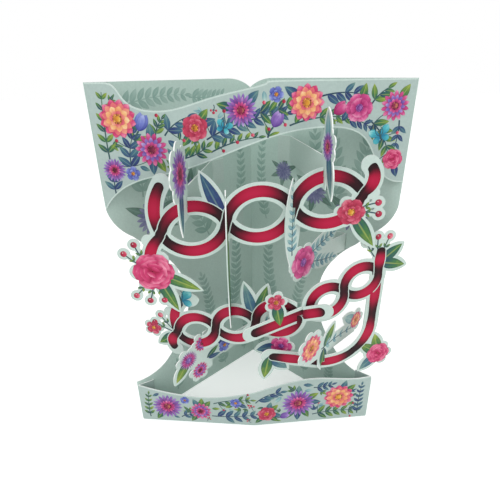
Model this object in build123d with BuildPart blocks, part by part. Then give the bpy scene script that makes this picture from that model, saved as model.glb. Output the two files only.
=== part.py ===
from build123d import *
import math
import os

# Standing pop-up card of thin printed card stock, in millimetres.
# The origin is the foot of the spine fold, +Z is up, and the open front faces -Y.

# Card stock and the ways its pieces hold together
sheet = 0.5
glue = 0.1
slot_play = 0.15
overrun = 20.0
tab_length = 8.0

# Folded frame
card_height = 180.0
front_width = 130.0
wing_depth = 60.0
front_bow = 6.0
flap_length = 9.0

# Cover outline, from the foot up
cover_foot_edge = 28.0
cover_shelf_in = 15.0
cover_shelf_rise = 4.0
cover_shelf_sag = 2.5
cover_waist_in = 28.0
cover_waist_height = 69.0
cover_shoulder_in = 13.5
cover_shoulder_height = 104.0
cover_cusp_in = 8.0
cover_cusp_height = 112.0
cover_bulge = 2.0
cover_edge_foot = 134.0
notch_half_width = 11.0
notch_depth = 4.5
notch_bulge = 1.2

# Top band: heights of its upper and lower edges
top_band_dip = 10.5
top_band_left_drop = 52.0
top_band_right_drop = 41.0
top_edge_shares = ((-0.88, 0.0), (-0.77, 0.58), (-0.56, 1.0), (-0.22, 0.52), (0.09, 0.08), (0.3, 0.0))
low_edge_shares = ((-0.77, 0.76), (-0.49, 0.67), (0.0, 0.45), (0.44, 0.34), (0.7, 0.42), (0.88, 0.75))

# Bottom band: heights of its upper edge
bottom_band_left = 26.0
bottom_band_right = 30.0
bottom_edge_shares = ((-0.62, 0.67), (-0.38, 0.65), (0.03, 0.85), (0.52, 1.05), (0.88, 0.97))

# Twisted ribbons: two strands that cross at each link, and the rim of bare card round every print
ribbon_width = 5.0
rim = 1.3

# Upper panel, in front of the top band
upper_forward = 12.0
upper_height = 133.0
upper_slope = 12.0
upper_link = 28.4
upper_sag = 10.0
upper_links = 3
upper_curl = 23.0
upper_curl_sag = 3.0
rose_drop = 18.0
red_drop = 9.0
left_fin_x = -27.0

# Lower panels, which cross in front of the right half
apex_x = 21.0
apex_forward = 16.0
lower_turn = 12.0
lower_height = 80.0
lower_slope = 17.0
lower_link = 21.0
lower_sag = 7.8
lower_links = 3
lower_curl = 20.0
lower_curl_sag = 2.6
left_tail = 12.0
right_slope = 28.0
right_link = 18.0
right_sag = 7.0
right_links = 2
right_lead = 5.0
streamer_length = 24.0
tail_height = 52.0
tail_top = 112.0
tail_radius = 20.0
tail_run = 24.0
tail_end = 27.0
tail_lift = 9.0

# Fins, which run back to the wings
left_fin_lean = 6.6
right_fin_lean = 9.0
fin_arm = 13.0
fin_rise = 8.0
left_aster = 11.0
left_aster_forward = 6.5
left_aster_lift = 15.0
right_aster = 6.4
right_aster_forward = 2.5
right_aster_lift = 12.0
centre_leaf_width = 12.0
centre_leaf_over = 12.0

# Strips, parallel to the left wing
strip_arm = 9.0
thistle_bloom = 6.0
thistle_forward = 9.0
daisy_bloom = 5.4
daisy_drop = 16.0
blue_bloom = 4.2
blue_back = 14.0
hanging_drop = 8.0
bud_rise = 12.0
dahlia_place = 13.0
dahlia_bloom = 8.2
dahlia_forward = 10.0
dahlia_lift = 14.0
pale_dahlia_bloom = 5.6
pale_dahlia_back = 27.0
pale_dahlia_lift = 12.0
poppy_bloom = 8.2
poppy_back = 8.0
poppy_drop = 28.0
fern_length = 27.0
fern_width = 7.0

# Blooms, leaves, berries and the butterfly on the panels
rose_bloom = 9.5
small_rose_bloom = 6.4
red_bloom = 6.0
berry = 1.5
berry_reach = 5.5
berry_fan = 50.0
leaf_length = 13.0
leaf_width = 5.5
butterfly_wing = 8.0
butterfly_wing_width = 5.0

# Sizes worked out from those above
half_width = front_width / 2
half_sheet = sheet / 2
wing_length = math.hypot(half_width, wing_depth)
wing_turn = math.degrees(math.atan2(wing_depth, half_width))
seat = sheet + glue
edge = half_width + overrun
ribbon_card = ribbon_width + rim * 2
upper_y = -wing_depth - upper_forward
apex_y = -wing_depth - apex_forward


def upright(x, y, turn):
    """Upright plane through (x, y): its x runs at that turn from the card's width, its y is up."""
    along = Vector(1, 0, 0).rotate(Axis.Z, turn)
    return Plane(origin=(x, y, 0), x_dir=along, z_dir=along.rotate(Axis.Z, -90))


def reach_to_wing(x, y, turn, side):
    """Distance from (x, y) along a turn to where a tab lies glued inside a wing (side -1 left, 1 right)."""
    inward = Vector(-side * wing_depth, -half_width) / wing_length
    along = Vector(1, 0).rotate(Axis.Z, turn)
    return (seat - inward.dot(Vector(x, y))) / inward.dot(along)


def tab_plane(x, y, turn, side):
    """Plane of a tab folded along a wing towards the spine, where a line from (x, y) reaches that wing."""
    fold = Vector(x, y) + Vector(reach_to_wing(x, y, turn, side), 0).rotate(Axis.Z, turn)
    return upright(fold.X, fold.Y, wing_turn if side < 0 else 180 - wing_turn)


def slot_width(crossing):
    """Width of a slot that lets a second sheet through at that crossing angle."""
    angle = math.radians(crossing)
    return sheet / math.sin(angle) + sheet / math.tan(angle) + slot_play * 2


def step(length, turn):
    """Vector of that length at that turn above the panel's run."""
    return Vector(length, 0).rotate(Axis.Z, turn)


def ribbon(corners, radius):
    """Card under a plain ribbon with rounded bends: the path as wide as print and rim, with round ends."""
    with BuildSketch() as shape:
        with BuildLine() as path:
            FilletPolyline(*corners, radius=radius)
        trace(path.edges(), line_width=ribbon_card)
        with Locations(corners[0], corners[-1]):
            Circle(ribbon_card / 2)
    return shape.sketch


def straight(start, end):
    """Card under a straight ribbon, with round ends."""
    with BuildSketch() as shape:
        with BuildLine() as path:
            Line(start, end)
        trace(path.edges(), line_width=ribbon_card)
        with Locations(start, end):
            Circle(ribbon_card / 2)
    return shape.sketch


def curl(start, length, turn, sag):
    """Card under the bowed loose end of a ribbon."""
    end = start + step(length, turn)
    with BuildSketch() as shape:
        with BuildLine() as path:
            SagittaArc(start, end, sag)
        trace(path.edges(), line_width=ribbon_card)
        with Locations(start, end):
            Circle(ribbon_card / 2)
    return shape.sketch


def twist(start, link, links, slope, sag):
    """Card under two strands of ribbon that bow apart and cross at the end of each link."""
    nodes = [start + step(link * place, slope) for place in range(links + 1)]
    with BuildSketch() as shape:
        for side in (1, -1):
            with BuildLine() as strand:
                for place in range(links):
                    SagittaArc(nodes[place], nodes[place + 1], side * (-1) ** place * sag)
            trace(strand.edges(), line_width=ribbon_card)
    return shape.sketch


def leaf(length, width):
    """Pointed leaf along +x from its root, with its rim."""
    with BuildSketch() as shape:
        with BuildLine():
            ThreePointArc((-rim, 0), (length / 2, width / 2 + rim), (length + rim, 0))
            ThreePointArc((length + rim, 0), (length / 2, -width / 2 - rim), (-rim, 0))
        make_face()
    return shape.sketch


def bloom(radius, petals):
    """Scalloped flower with its rim."""
    lobe_share = math.sin(math.pi / petals) * 1.2
    outer = radius + rim
    lobe = outer * lobe_share / (1 + lobe_share)
    with BuildSketch() as shape:
        Circle(outer - lobe)
        with PolarLocations(outer - lobe, petals):
            Circle(lobe)
    return shape.sketch


def berries(stem):
    """Three berries on stems that fan from a common root along +x."""
    with BuildSketch() as shape:
        for turn in (-berry_fan / 2, 0, berry_fan / 2):
            with Locations(Location((0, 0), turn)):
                Rectangle(stem, rim * 2, align=(Align.MIN, Align.CENTER))
            with Locations(step(stem, turn)):
                Circle(berry + rim)
    return shape.sketch


def half_slot(x, z, length, crossing, upward):
    """Slot cut from the sketch: it starts at (x, z) and runs up or down for that length."""
    end = Align.MIN if upward else Align.MAX
    with Locations((x, z)):
        Rectangle(slot_width(crossing), length, align=(Align.CENTER, end), mode=Mode.SUBTRACT)


# Cover: one sheet folded at the spine, cut to the waisted outline
spine_mitre = half_sheet * wing_length / half_width
wing_across = Vector(wing_depth, half_width) * (half_sheet / wing_length)
wing_end = Vector(half_width, -wing_depth)
with BuildPart() as cover:
    with BuildSketch() as fold:
        with BuildLine():
            spine_back = (0, spine_mitre)
            spine_front = (0, -spine_mitre)
            Polyline(spine_back, wing_end + wing_across, wing_end - wing_across, spine_front, close=True)
        make_face()
        mirror(about=Plane.YZ)
    extrude(amount=card_height)
    with BuildSketch(Plane.XZ) as outline:
        with BuildLine():
            shelf = (half_width - cover_shelf_in, cover_foot_edge + cover_shelf_rise)
            shelf_middle_z = cover_foot_edge + cover_shelf_rise / 2 - cover_shelf_sag
            shelf_middle = (half_width - cover_shelf_in / 2, shelf_middle_z)
            shoulder = (half_width - cover_shoulder_in, cover_shoulder_height)
            cusp = (half_width - cover_cusp_in, cover_cusp_height)
            upper_edge = (half_width, cover_edge_foot)
            bulge_z = (cover_cusp_height + cover_edge_foot) / 2 - cover_bulge
            bulge = (half_width - cover_cusp_in / 2 + cover_bulge, bulge_z)
            Polyline((0, 0), (edge, 0), (edge, cover_foot_edge), (half_width, cover_foot_edge))
            ThreePointArc((half_width, cover_foot_edge), shelf_middle, shelf)
            ThreePointArc(shelf, (half_width - cover_waist_in, cover_waist_height), shoulder)
            Line(shoulder, cusp)
            ThreePointArc(cusp, bulge, upper_edge)
            notch_edge = (notch_half_width, card_height)
            Polyline(upper_edge, (edge, cover_edge_foot), (edge, card_height), notch_edge)
            notch_foot = (0, card_height - notch_depth)
            notch_middle = (notch_half_width / 2, card_height - notch_depth / 2 + notch_bulge)
            ThreePointArc(notch_edge, notch_middle, notch_foot)
            Line(notch_foot, (0, 0))
        make_face()
        mirror(about=Plane.YZ)
    extrude(amount=wing_depth + overrun, both=True, mode=Mode.INTERSECT)
cover.part.label = "cover"

# Bands: one creased sheet each, with a flap folded back and glued inside each wing
inward = Vector(-wing_depth, -half_width) * (seat / wing_length)
band_corner = wing_end + inward + Vector(-half_width, wing_depth) * (half_sheet / wing_length)
flap_end = band_corner + Vector(-half_width, wing_depth) * (flap_length / wing_length)
with BuildSketch() as band_fold:
    with BuildLine():
        Polyline(
            (-flap_end.X, flap_end.Y),
            (-band_corner.X, band_corner.Y),
            (0, -wing_depth - front_bow),
            (band_corner.X, band_corner.Y),
            (flap_end.X, flap_end.Y),
        )
        offset(amount=half_sheet)
    make_face()

with BuildPart() as top_band:
    add(band_fold.sketch)
    extrude(amount=card_height)
    with BuildSketch(Plane.XZ) as top_outline:
        with BuildLine():
            left_foot = card_height - top_band_left_drop
            right_foot = card_height - top_band_right_drop
            upper = [(x * half_width, card_height - top_band_dip * dip) for x, dip in top_edge_shares]
            drops = [(x * half_width, top_band_left_drop * drop) for x, drop in low_edge_shares]
            lower = [(x, card_height - drop) for x, drop in drops]
            Polyline((-edge, left_foot), (-edge, card_height), upper[0])
            Spline(*upper, tangents=[(1, 0), (1, 0)])
            Polyline(upper[-1], (edge, card_height), (edge, right_foot), (half_width, right_foot))
            Spline((half_width, right_foot), *reversed(lower), (-half_width, left_foot))
            Line((-half_width, left_foot), (-edge, left_foot))
        make_face()
    extrude(amount=wing_depth * 2, both=True, mode=Mode.INTERSECT)
top_band.part.label = "top_band"

with BuildPart() as bottom_band:
    add(band_fold.sketch)
    extrude(amount=card_height)
    with BuildSketch(Plane.XZ) as bottom_outline:
        with BuildLine():
            crest = [(x * half_width, bottom_band_right * rise) for x, rise in bottom_edge_shares]
            Polyline((-half_width, bottom_band_left), (-edge, bottom_band_left), (-edge, 0), (edge, 0))
            Polyline((edge, 0), (edge, bottom_band_right), (half_width, bottom_band_right))
            Spline((half_width, bottom_band_right), *reversed(crest), (-half_width, bottom_band_left))
        make_face()
    extrude(amount=wing_depth * 2, both=True, mode=Mode.INTERSECT)
bottom_band.part.label = "bottom_band"

# Upper panel: a twisted ribbon between a rose spray and a red flower
upper_along = step(upper_link, upper_slope)
upper_rise = step(upper_sag, upper_slope + 90)
left_crest = Vector(left_fin_x, upper_height)
upper_start = left_crest - upper_rise - upper_along / 2
centre_node = upper_start + upper_along
poppy_node = centre_node + upper_along
upper_end = upper_start + upper_along * upper_links
right_crest = upper_end + upper_rise - upper_along / 2
rose_place = upper_start + step(rose_drop, -107)
red_place = upper_end + step(red_drop, -115)
with BuildPart() as upper_ribbon_panel:
    with BuildSketch(upright(0, upper_y, 0)) as upper_outline:
        add(twist(upper_start, upper_link, upper_links, upper_slope, upper_sag))
        add(curl(upper_start, upper_curl, 84, upper_curl_sag))
        add(curl(upper_start, rose_drop, -107, -upper_curl_sag))
        add(curl(upper_end, upper_curl / 2, 80, -upper_curl_sag))
        with Locations(rose_place):
            add(bloom(rose_bloom, 6))
            add(berries(rose_bloom + berry_reach), rotation=118)
            add(berries(rose_bloom + berry_reach), rotation=258)
            add(leaf(rose_bloom + leaf_length, leaf_width), rotation=-65)
            add(leaf(rose_bloom + leaf_length, leaf_width), rotation=-25)
        with Locations(centre_node):
            add(leaf(upper_sag + leaf_length, leaf_width), rotation=115)
        with Locations(red_place):
            add(bloom(red_bloom, 6))
            add(leaf(red_bloom + leaf_length, leaf_width), rotation=-55)
            add(berries(red_bloom + berry_reach), rotation=20)
        half_slot(left_crest.X, left_crest.Y, ribbon_card, 90 - left_fin_lean, True)
        half_slot(centre_node.X, centre_node.Y, upper_sag * 2, 90, False)
        half_slot(right_crest.X, right_crest.Y, ribbon_card, 90 - right_fin_lean, True)
        half_slot(poppy_node.X, poppy_node.Y, upper_sag * 2, wing_turn, False)
    extrude(amount=half_sheet, both=True)
upper_ribbon_panel.part.label = "upper_ribbon_panel"

# Lower left panel: a twisted ribbon whose end passes through the lower right panel
lower_cos = math.cos(math.radians(lower_turn))
lower_sin = math.sin(math.radians(lower_turn))
lower_along = step(lower_link, lower_slope)
lower_rise = step(lower_sag, lower_slope + 90)
centre_s = (centre_node.X - apex_x) / lower_cos
left_start = Vector(centre_s, lower_height) - lower_rise - lower_along * lower_links / 2
left_end = left_start + lower_along * lower_links
left_tip = left_end + step(left_tail, lower_slope)
thistle_spot = left_start + lower_along / 2 - lower_rise
curl_top = left_start + step(lower_curl, 80)
meet_z = left_end.Y - left_end.X * math.tan(math.radians(lower_slope))
with BuildPart() as lower_left_ribbon_panel:
    with BuildSketch(upright(apex_x, apex_y, -lower_turn)) as left_outline:
        add(twist(left_start, lower_link, lower_links, lower_slope, lower_sag))
        add(straight(left_end, left_tip))
        add(curl(left_start, lower_curl, 80, lower_curl_sag))
        add(curl(left_start, lower_curl / 2, -100, -lower_curl_sag))
        with Locations(left_start):
            add(leaf(leaf_length, leaf_width), rotation=215)
            add(berries(leaf_length), rotation=130)
        with Locations(left_start + step(leaf_length, 172)):
            add(bloom(blue_bloom, 5))
        with Locations(curl_top):
            add(leaf(butterfly_wing, butterfly_wing_width), rotation=65)
            add(leaf(butterfly_wing, butterfly_wing_width), rotation=10)
            add(leaf(butterfly_wing, butterfly_wing_width), rotation=140)
            add(leaf(butterfly_wing, butterfly_wing_width), rotation=195)
        with Locations(left_end - lower_along):
            add(leaf(lower_sag + leaf_length, leaf_width), rotation=105)
            add(leaf(lower_sag + leaf_length, leaf_width), rotation=75)
        with Locations(left_end - lower_along / 2 - lower_rise - Vector(0, hanging_drop)):
            add(bloom(daisy_bloom, 5))
            add(leaf(leaf_length, leaf_width), rotation=200)
            add(leaf(leaf_length, leaf_width), rotation=-110)
        half_slot(thistle_spot.X, thistle_spot.Y, ribbon_card, wing_turn + lower_turn, False)
        half_slot(centre_s, lower_height, ribbon_card, 90 - lower_turn, True)
        half_slot(0, meet_z, ribbon_card, lower_turn * 2, True)
    extrude(amount=half_sheet, both=True)
lower_left_ribbon_panel.part.label = "lower_left_ribbon_panel"

# Lower right panel: a streamer leads into two links, and a long tail curls back under them
right_start = Vector(0, meet_z) + step(right_lead, lower_slope)
right_end = right_start + step(right_link * right_links, right_slope)
streamer_tip = Vector(0, meet_z) - step(streamer_length, lower_slope)
tail_corners = (
    (right_end.X, tail_top),
    (right_end.X, tail_height),
    (right_end.X - tail_run, tail_height),
    (right_end.X - tail_run - tail_end, tail_height + tail_lift),
)
with BuildPart() as lower_right_ribbon_panel:
    with BuildSketch(upright(apex_x, apex_y, lower_turn)) as right_outline:
        add(straight(streamer_tip, right_start))
        add(twist(right_start, right_link, right_links, right_slope, right_sag))
        add(ribbon(tail_corners, tail_radius))
        with Locations((streamer_tip + Vector(0, meet_z)) / 2 + Vector(0, bud_rise)):
            add(bloom(blue_bloom, 5))
            add(leaf(leaf_length, leaf_width), rotation=-80)
        with Locations(tail_corners[-1]):
            add(leaf(leaf_length, leaf_width), rotation=-100)
            add(leaf(leaf_length, leaf_width), rotation=-45)
        with Locations((right_end.X, tail_top - ribbon_card)):
            add(leaf(leaf_length, leaf_width), rotation=40)
            add(leaf(leaf_length, leaf_width), rotation=-10)
            add(berries(leaf_length), rotation=100)
        with Locations((right_end.X + small_rose_bloom, tail_height)):
            add(bloom(small_rose_bloom, 6))
            add(leaf(leaf_length, leaf_width), rotation=145)
            add(leaf(leaf_length, leaf_width), rotation=105)
            add(leaf(leaf_length, leaf_width), rotation=225)
        half_slot(0, meet_z, ribbon_card, lower_turn * 2, False)
        half_slot(dahlia_place, tail_height, ribbon_card, wing_turn - lower_turn, True)
    extrude(amount=half_sheet, both=True)
lower_right_ribbon_panel.part.label = "lower_right_ribbon_panel"

# Left flower fin: an aster in front of the upper panel, and an arm back to the left wing
left_fin_turn = 90 - left_fin_lean
left_fin_end = reach_to_wing(left_fin_x, upper_y, left_fin_turn, -1)
with BuildPart() as left_flower_fin:
    with BuildSketch(upright(left_fin_x, upper_y, left_fin_turn)) as left_fin_outline:
        with Locations((-left_aster_forward, left_crest.Y + left_aster_lift)):
            add(bloom(left_aster, 8))
            add(leaf(left_aster + leaf_length, leaf_width), rotation=-95)
        with Locations((-left_aster_forward, left_crest.Y + fin_rise)):
            Rectangle(left_fin_end + left_aster_forward, fin_arm, align=(Align.MIN, Align.MAX))
        half_slot(0, left_crest.Y, overrun, left_fin_turn, False)
    extrude(amount=half_sheet, both=True)
    with BuildSketch(tab_plane(left_fin_x, upper_y, left_fin_turn, -1)) as left_fin_tab:
        with Locations((0, left_crest.Y + fin_rise)):
            Rectangle(tab_length, fin_arm, align=(Align.MIN, Align.MAX))
    extrude(amount=half_sheet, both=True)
left_flower_fin.part.label = "left_flower_fin"

# Right flower fin, a smaller aster with an arm to the right wing
right_fin_turn = 90 + right_fin_lean
right_fin_end = reach_to_wing(right_crest.X, upper_y, right_fin_turn, 1)
with BuildPart() as right_flower_fin:
    with BuildSketch(upright(right_crest.X, upper_y, right_fin_turn)) as right_fin_outline:
        with Locations((-right_aster_forward, right_crest.Y + right_aster_lift)):
            add(bloom(right_aster, 7))
            add(leaf(right_aster + leaf_length, leaf_width), rotation=-110)
            add(leaf(leaf_length, leaf_width), rotation=80)
        with Locations((-right_aster_forward, right_crest.Y + fin_rise)):
            Rectangle(right_fin_end + right_aster_forward, fin_arm, align=(Align.MIN, Align.MAX))
        half_slot(0, right_crest.Y, overrun, right_fin_turn, False)
    extrude(amount=half_sheet, both=True)
    with BuildSketch(tab_plane(right_crest.X, upper_y, right_fin_turn, 1)) as right_fin_tab:
        with Locations((0, right_crest.Y + fin_rise)):
            Rectangle(tab_length, fin_arm, align=(Align.MIN, Align.MAX))
    extrude(amount=half_sheet, both=True)
right_flower_fin.part.label = "right_flower_fin"

# Centre leaf fin: a tall leaf that holds the upper and the lower left panel, and an arm to the left wing
centre_end = reach_to_wing(centre_node.X, upper_y, 90, -1)
centre_low_t = apex_y - lower_sin * centre_s - upper_y
centre_foot = lower_height - ribbon_card
centre_tall = centre_node.Y + centre_leaf_over - centre_foot
centre_arm_z = centre_foot + centre_tall / 2
with BuildPart() as centre_leaf_fin:
    with BuildSketch(upright(centre_node.X, upper_y, 90)) as centre_outline:
        with Locations((centre_low_t / 2, centre_foot)):
            add(leaf(centre_tall, centre_leaf_width), rotation=90)
        with Locations((centre_low_t, centre_arm_z)):
            Rectangle(centre_end - centre_low_t, fin_arm, align=(Align.MIN, Align.CENTER))
        half_slot(centre_low_t, lower_height, overrun, 90 - lower_turn, False)
        half_slot(0, centre_node.Y, overrun, 90, True)
    extrude(amount=half_sheet, both=True)
    with BuildSketch(tab_plane(centre_node.X, upper_y, 90, -1)) as centre_tab:
        with Locations((0, centre_arm_z)):
            Rectangle(tab_length, fin_arm, align=(Align.MIN, Align.CENTER))
    extrude(amount=half_sheet, both=True)
centre_leaf_fin.part.label = "centre_leaf_fin"

# Thistle strip: holds the lower left panel from below and runs back to the right wing
thistle_x = apex_x + lower_cos * thistle_spot.X
thistle_y = apex_y - lower_sin * thistle_spot.X
thistle_end = reach_to_wing(thistle_x, thistle_y, wing_turn, 1)
thistle_top = thistle_spot.Y
with BuildPart() as thistle_strip:
    with BuildSketch(upright(thistle_x, thistle_y, wing_turn)) as thistle_outline:
        with Locations((-thistle_forward, thistle_top - thistle_bloom)):
            add(bloom(thistle_bloom, 6))
            add(leaf(leaf_length, leaf_width), rotation=-130)
        with Locations((-daisy_bloom / 2, thistle_top - daisy_drop)):
            add(bloom(daisy_bloom, 6))
        with Locations((0, thistle_top)):
            add(bloom(daisy_bloom, 6))
        with Locations((blue_back, thistle_top - strip_arm)):
            add(bloom(blue_bloom, 5))
            add(leaf(leaf_length, leaf_width), rotation=110)
        with Locations((0, thistle_top - strip_arm)):
            Rectangle(thistle_end, strip_arm, align=(Align.MIN, Align.CENTER))
            Rectangle(daisy_bloom * 2, strip_arm * 2, align=(Align.CENTER, Align.CENTER))
        half_slot(0, thistle_top, overrun, wing_turn + lower_turn, True)
    extrude(amount=half_sheet, both=True)
    with BuildSketch(tab_plane(thistle_x, thistle_y, wing_turn, 1)) as thistle_tab:
        with Locations((0, thistle_top - strip_arm)):
            Rectangle(tab_length, strip_arm, align=(Align.MIN, Align.CENTER))
    extrude(amount=half_sheet, both=True)
thistle_strip.part.label = "thistle_strip"

# Dahlia strip: sits over the tail of the lower right panel and passes out at the right waist
dahlia_x = apex_x + lower_cos * dahlia_place
dahlia_y = apex_y + lower_sin * dahlia_place
with BuildPart() as dahlia_strip:
    with BuildSketch(upright(dahlia_x, dahlia_y, wing_turn)) as dahlia_outline:
        with Locations((-dahlia_forward, tail_height + dahlia_lift)):
            add(bloom(dahlia_bloom, 7))
        with Locations((0, tail_height + strip_arm)):
            add(leaf(leaf_length, leaf_width), rotation=-90)
            add(leaf(leaf_length, leaf_width), rotation=55)
            Rectangle(pale_dahlia_back, strip_arm, align=(Align.MIN, Align.CENTER))
            Rectangle(dahlia_forward, strip_arm, align=(Align.MAX, Align.CENTER))
        with Locations((pale_dahlia_back, tail_height + pale_dahlia_lift)):
            add(bloom(pale_dahlia_bloom, 5))
            add(leaf(leaf_length, leaf_width), rotation=150)
        half_slot(0, tail_height, overrun, wing_turn - lower_turn, False)
    extrude(amount=half_sheet, both=True)
dahlia_strip.part.label = "dahlia_strip"

# Poppy and fern strip: hangs in the upper panel's last trough and is glued to the right wing
poppy_end = reach_to_wing(poppy_node.X, upper_y, wing_turn, 1)
poppy_z = poppy_node.Y - poppy_drop
with BuildPart() as poppy_fern_strip:
    with BuildSketch(upright(poppy_node.X, upper_y, wing_turn)) as poppy_outline:
        with Locations((poppy_back, poppy_z)):
            add(bloom(poppy_bloom, 6))
            add(leaf(fern_length, fern_width), rotation=22)
            add(leaf(fern_length, fern_width), rotation=-12)
            Rectangle(poppy_end - poppy_back, strip_arm, align=(Align.MIN, Align.CENTER))
        with Locations((0, poppy_z)):
            add(leaf(leaf_length + poppy_drop, fern_width), rotation=90)
            Rectangle(poppy_back, strip_arm, align=(Align.MIN, Align.CENTER))
        half_slot(0, poppy_node.Y, overrun, wing_turn, True)
    extrude(amount=half_sheet, both=True)
    with BuildSketch(tab_plane(poppy_node.X, upper_y, wing_turn, 1)) as poppy_tab:
        with Locations((0, poppy_z)):
            Rectangle(tab_length, strip_arm, align=(Align.MIN, Align.CENTER))
    extrude(amount=half_sheet, both=True)
poppy_fern_strip.part.label = "poppy_fern_strip"

os.makedirs("parts", exist_ok=True)
for piece in (
    cover,
    top_band,
    bottom_band,
    upper_ribbon_panel,
    lower_left_ribbon_panel,
    lower_right_ribbon_panel,
    left_flower_fin,
    centre_leaf_fin,
    right_flower_fin,
    thistle_strip,
    dahlia_strip,
    poppy_fern_strip,
):
    export_step(piece.part, f"parts/{piece.part.label}.step")
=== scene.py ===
# %% [markdown]
# # A standing pop-up card of printed card stock
#
# The real object is a folded cover with two front bands, and nine die-cut pieces that slot into each other
# like the parts of a stage set. The CAD frame already holds every sheet with its outline, its folds and its
# slots. What is missing is what the eye enjoys: the mint card itself, and the watercolour print on it.

import bisect
import math

import bmesh
import bpy
from mathutils import Matrix, Vector


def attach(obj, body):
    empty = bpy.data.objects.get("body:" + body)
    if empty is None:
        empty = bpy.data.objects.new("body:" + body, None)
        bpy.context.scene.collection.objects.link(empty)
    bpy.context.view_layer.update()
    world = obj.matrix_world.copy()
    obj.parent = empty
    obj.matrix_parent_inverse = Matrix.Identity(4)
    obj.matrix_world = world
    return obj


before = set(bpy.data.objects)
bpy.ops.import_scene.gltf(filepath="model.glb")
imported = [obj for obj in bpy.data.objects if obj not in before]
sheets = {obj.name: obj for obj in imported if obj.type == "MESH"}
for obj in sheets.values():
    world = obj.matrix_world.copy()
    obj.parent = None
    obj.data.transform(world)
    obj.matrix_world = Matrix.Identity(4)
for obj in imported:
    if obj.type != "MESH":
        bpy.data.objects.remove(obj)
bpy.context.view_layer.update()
print("sheets in the frame:", ", ".join(sorted(sheets)))

# %% [markdown]
# ## Camera, light and floor
#
# The camera comes first, because every later choice is judged through it. It stands close in front, a little
# above the card's top edge, and looks down at about 25 degrees, so the card tapers strongly to its foot.
# A card like this is lit by a bright, even room: a white surround does most of the work, and two large soft
# lamps give the folds their shade.

# %% Camera
mm = 0.001
camera_place = (-1.3, -221.85, 182.78)
camera_pitch, camera_roll = 24.95, -0.8
scene = bpy.context.scene
lens = bpy.data.cameras.new("camera")
lens.sensor_width = 36.0
lens.lens = 27.53
lens.clip_start = 0.01
camera = bpy.data.objects.new("camera", lens)
camera.location = Vector(camera_place) * mm
look_down = Matrix.Rotation(math.radians(90 - camera_pitch), 3, "X")
camera.rotation_euler = (look_down @ Matrix.Rotation(math.radians(camera_roll), 3, "Z")).to_euler()
scene.collection.objects.link(camera)
scene.camera = camera
scene.view_settings.view_transform = "Standard"
print("camera at", [round(c, 4) for c in camera.location])


# %% Helpers for node materials
def linear(hex_colour):
    """An sRGB hex colour as the linear colour that shaders work in."""
    parts = [int(hex_colour[at : at + 2], 16) / 255 for at in (1, 3, 5)]
    return tuple(p / 12.92 if p <= 0.04045 else ((p + 0.055) / 1.055) ** 2.4 for p in parts) + (1.0,)


def put(tree, kind, values=None, links=None, **settings):
    """Adds a node with its settings, socket values and incoming links."""
    node = tree.nodes.new(kind)
    for name, value in settings.items():
        setattr(node, name, value)
    for socket, value in (values or {}).items():
        node.inputs[socket].default_value = value
    for socket, source in (links or {}).items():
        tree.links.new(source, node.inputs[socket])
    return node


def new_material(name):
    """A new material, with its node tree and its shader."""
    material = bpy.data.materials.new(name)
    material.use_nodes = True
    return material, material.node_tree, material.node_tree.nodes["Principled BSDF"]


def set_stops(node, stops):
    """Spreads the colours evenly over a colour ramp."""
    ramp = node.color_ramp
    while len(ramp.elements) < len(stops):
        ramp.elements.new(0.5)
    for place, (element, colour) in enumerate(zip(ramp.elements, stops)):
        element.position = place / (len(stops) - 1)
        element.color = linear(colour)


print("mid grey #808080 is", round(linear("#808080")[0], 3), "in linear light")

# %% White surround
world = bpy.data.worlds.new("white_room")
scene.world = world
world.use_nodes = True
room_level = 0.8


def seen_directly(tree):
    """1 for what the camera sees straight, in a mirror or through glass, else 0."""
    ray = put(tree, "ShaderNodeLightPath")
    seen = ray.outputs["Is Camera Ray"]
    for way in ("Is Glossy Ray", "Is Transmission Ray"):
        either = {0: seen, 1: ray.outputs[way]}
        seen = put(tree, "ShaderNodeMath", links=either, operation="MAXIMUM").outputs[0]
    return seen


level = put(
    world.node_tree,
    "ShaderNodeMath",
    {1: 1 - room_level, 2: room_level},
    {0: seen_directly(world.node_tree)},
    operation="MULTIPLY_ADD",
)
surround = world.node_tree.nodes["Background"]
surround.inputs["Color"].default_value = linear("#ffffff")
world.node_tree.links.new(level.outputs[0], surround.inputs["Strength"])
print("the room lights the card at", room_level, "and looks white")

# %% Lamps
card_middle = Vector((0, -0.05, 0.09))


def soft_lamp(name, place, size, power):
    """A large square lamp that faces the middle of the card, placed and sized in metres."""
    data = bpy.data.lights.new(name, "AREA")
    data.size = size
    data.energy = power
    lamp = bpy.data.objects.new(name, data)
    lamp.location = place
    aim = card_middle - Vector(place)
    lamp.rotation_euler = aim.to_track_quat("-Z", "Y").to_euler()
    scene.collection.objects.link(lamp)
    return lamp


lamps = [
    soft_lamp("front_window", (-0.35, -0.75, 0.75), 0.6, 2.4),
    soft_lamp("side_fill", (0.7, -0.45, 0.4), 0.5, 0.8),
]
print("lamps:", ", ".join(lamp.name for lamp in lamps))

# %% Floor
# White laminate: pale, matt and even, so it takes a soft shadow and mirrors nothing
floor_reach, floor_glow = 3.0, 0.36
floor_art = bmesh.new()
bmesh.ops.create_grid(floor_art, x_segments=2, y_segments=2, size=floor_reach)
floor_mesh = bpy.data.meshes.new("floor")
floor_art.to_mesh(floor_mesh)
floor = bpy.data.objects.new("floor", floor_mesh)
scene.collection.objects.link(floor)
floor_paint, floor_tree, floor_shader = new_material("white_laminate_table")
floor_shader.inputs["Roughness"].default_value = 0.7
floor_shader.inputs["Base Color"].default_value = linear("#f4f5f4")
floor_shader.inputs["Emission Color"].default_value = linear("#ffffff")
seen = {0: seen_directly(floor_tree)}
glow = put(floor_tree, "ShaderNodeMath", {1: floor_glow}, seen, operation="MULTIPLY")
floor_tree.links.new(glow.outputs[0], floor_shader.inputs["Emission Strength"])
floor_mesh.materials.append(floor_paint)
print("floor of", floor_paint.name)

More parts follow.
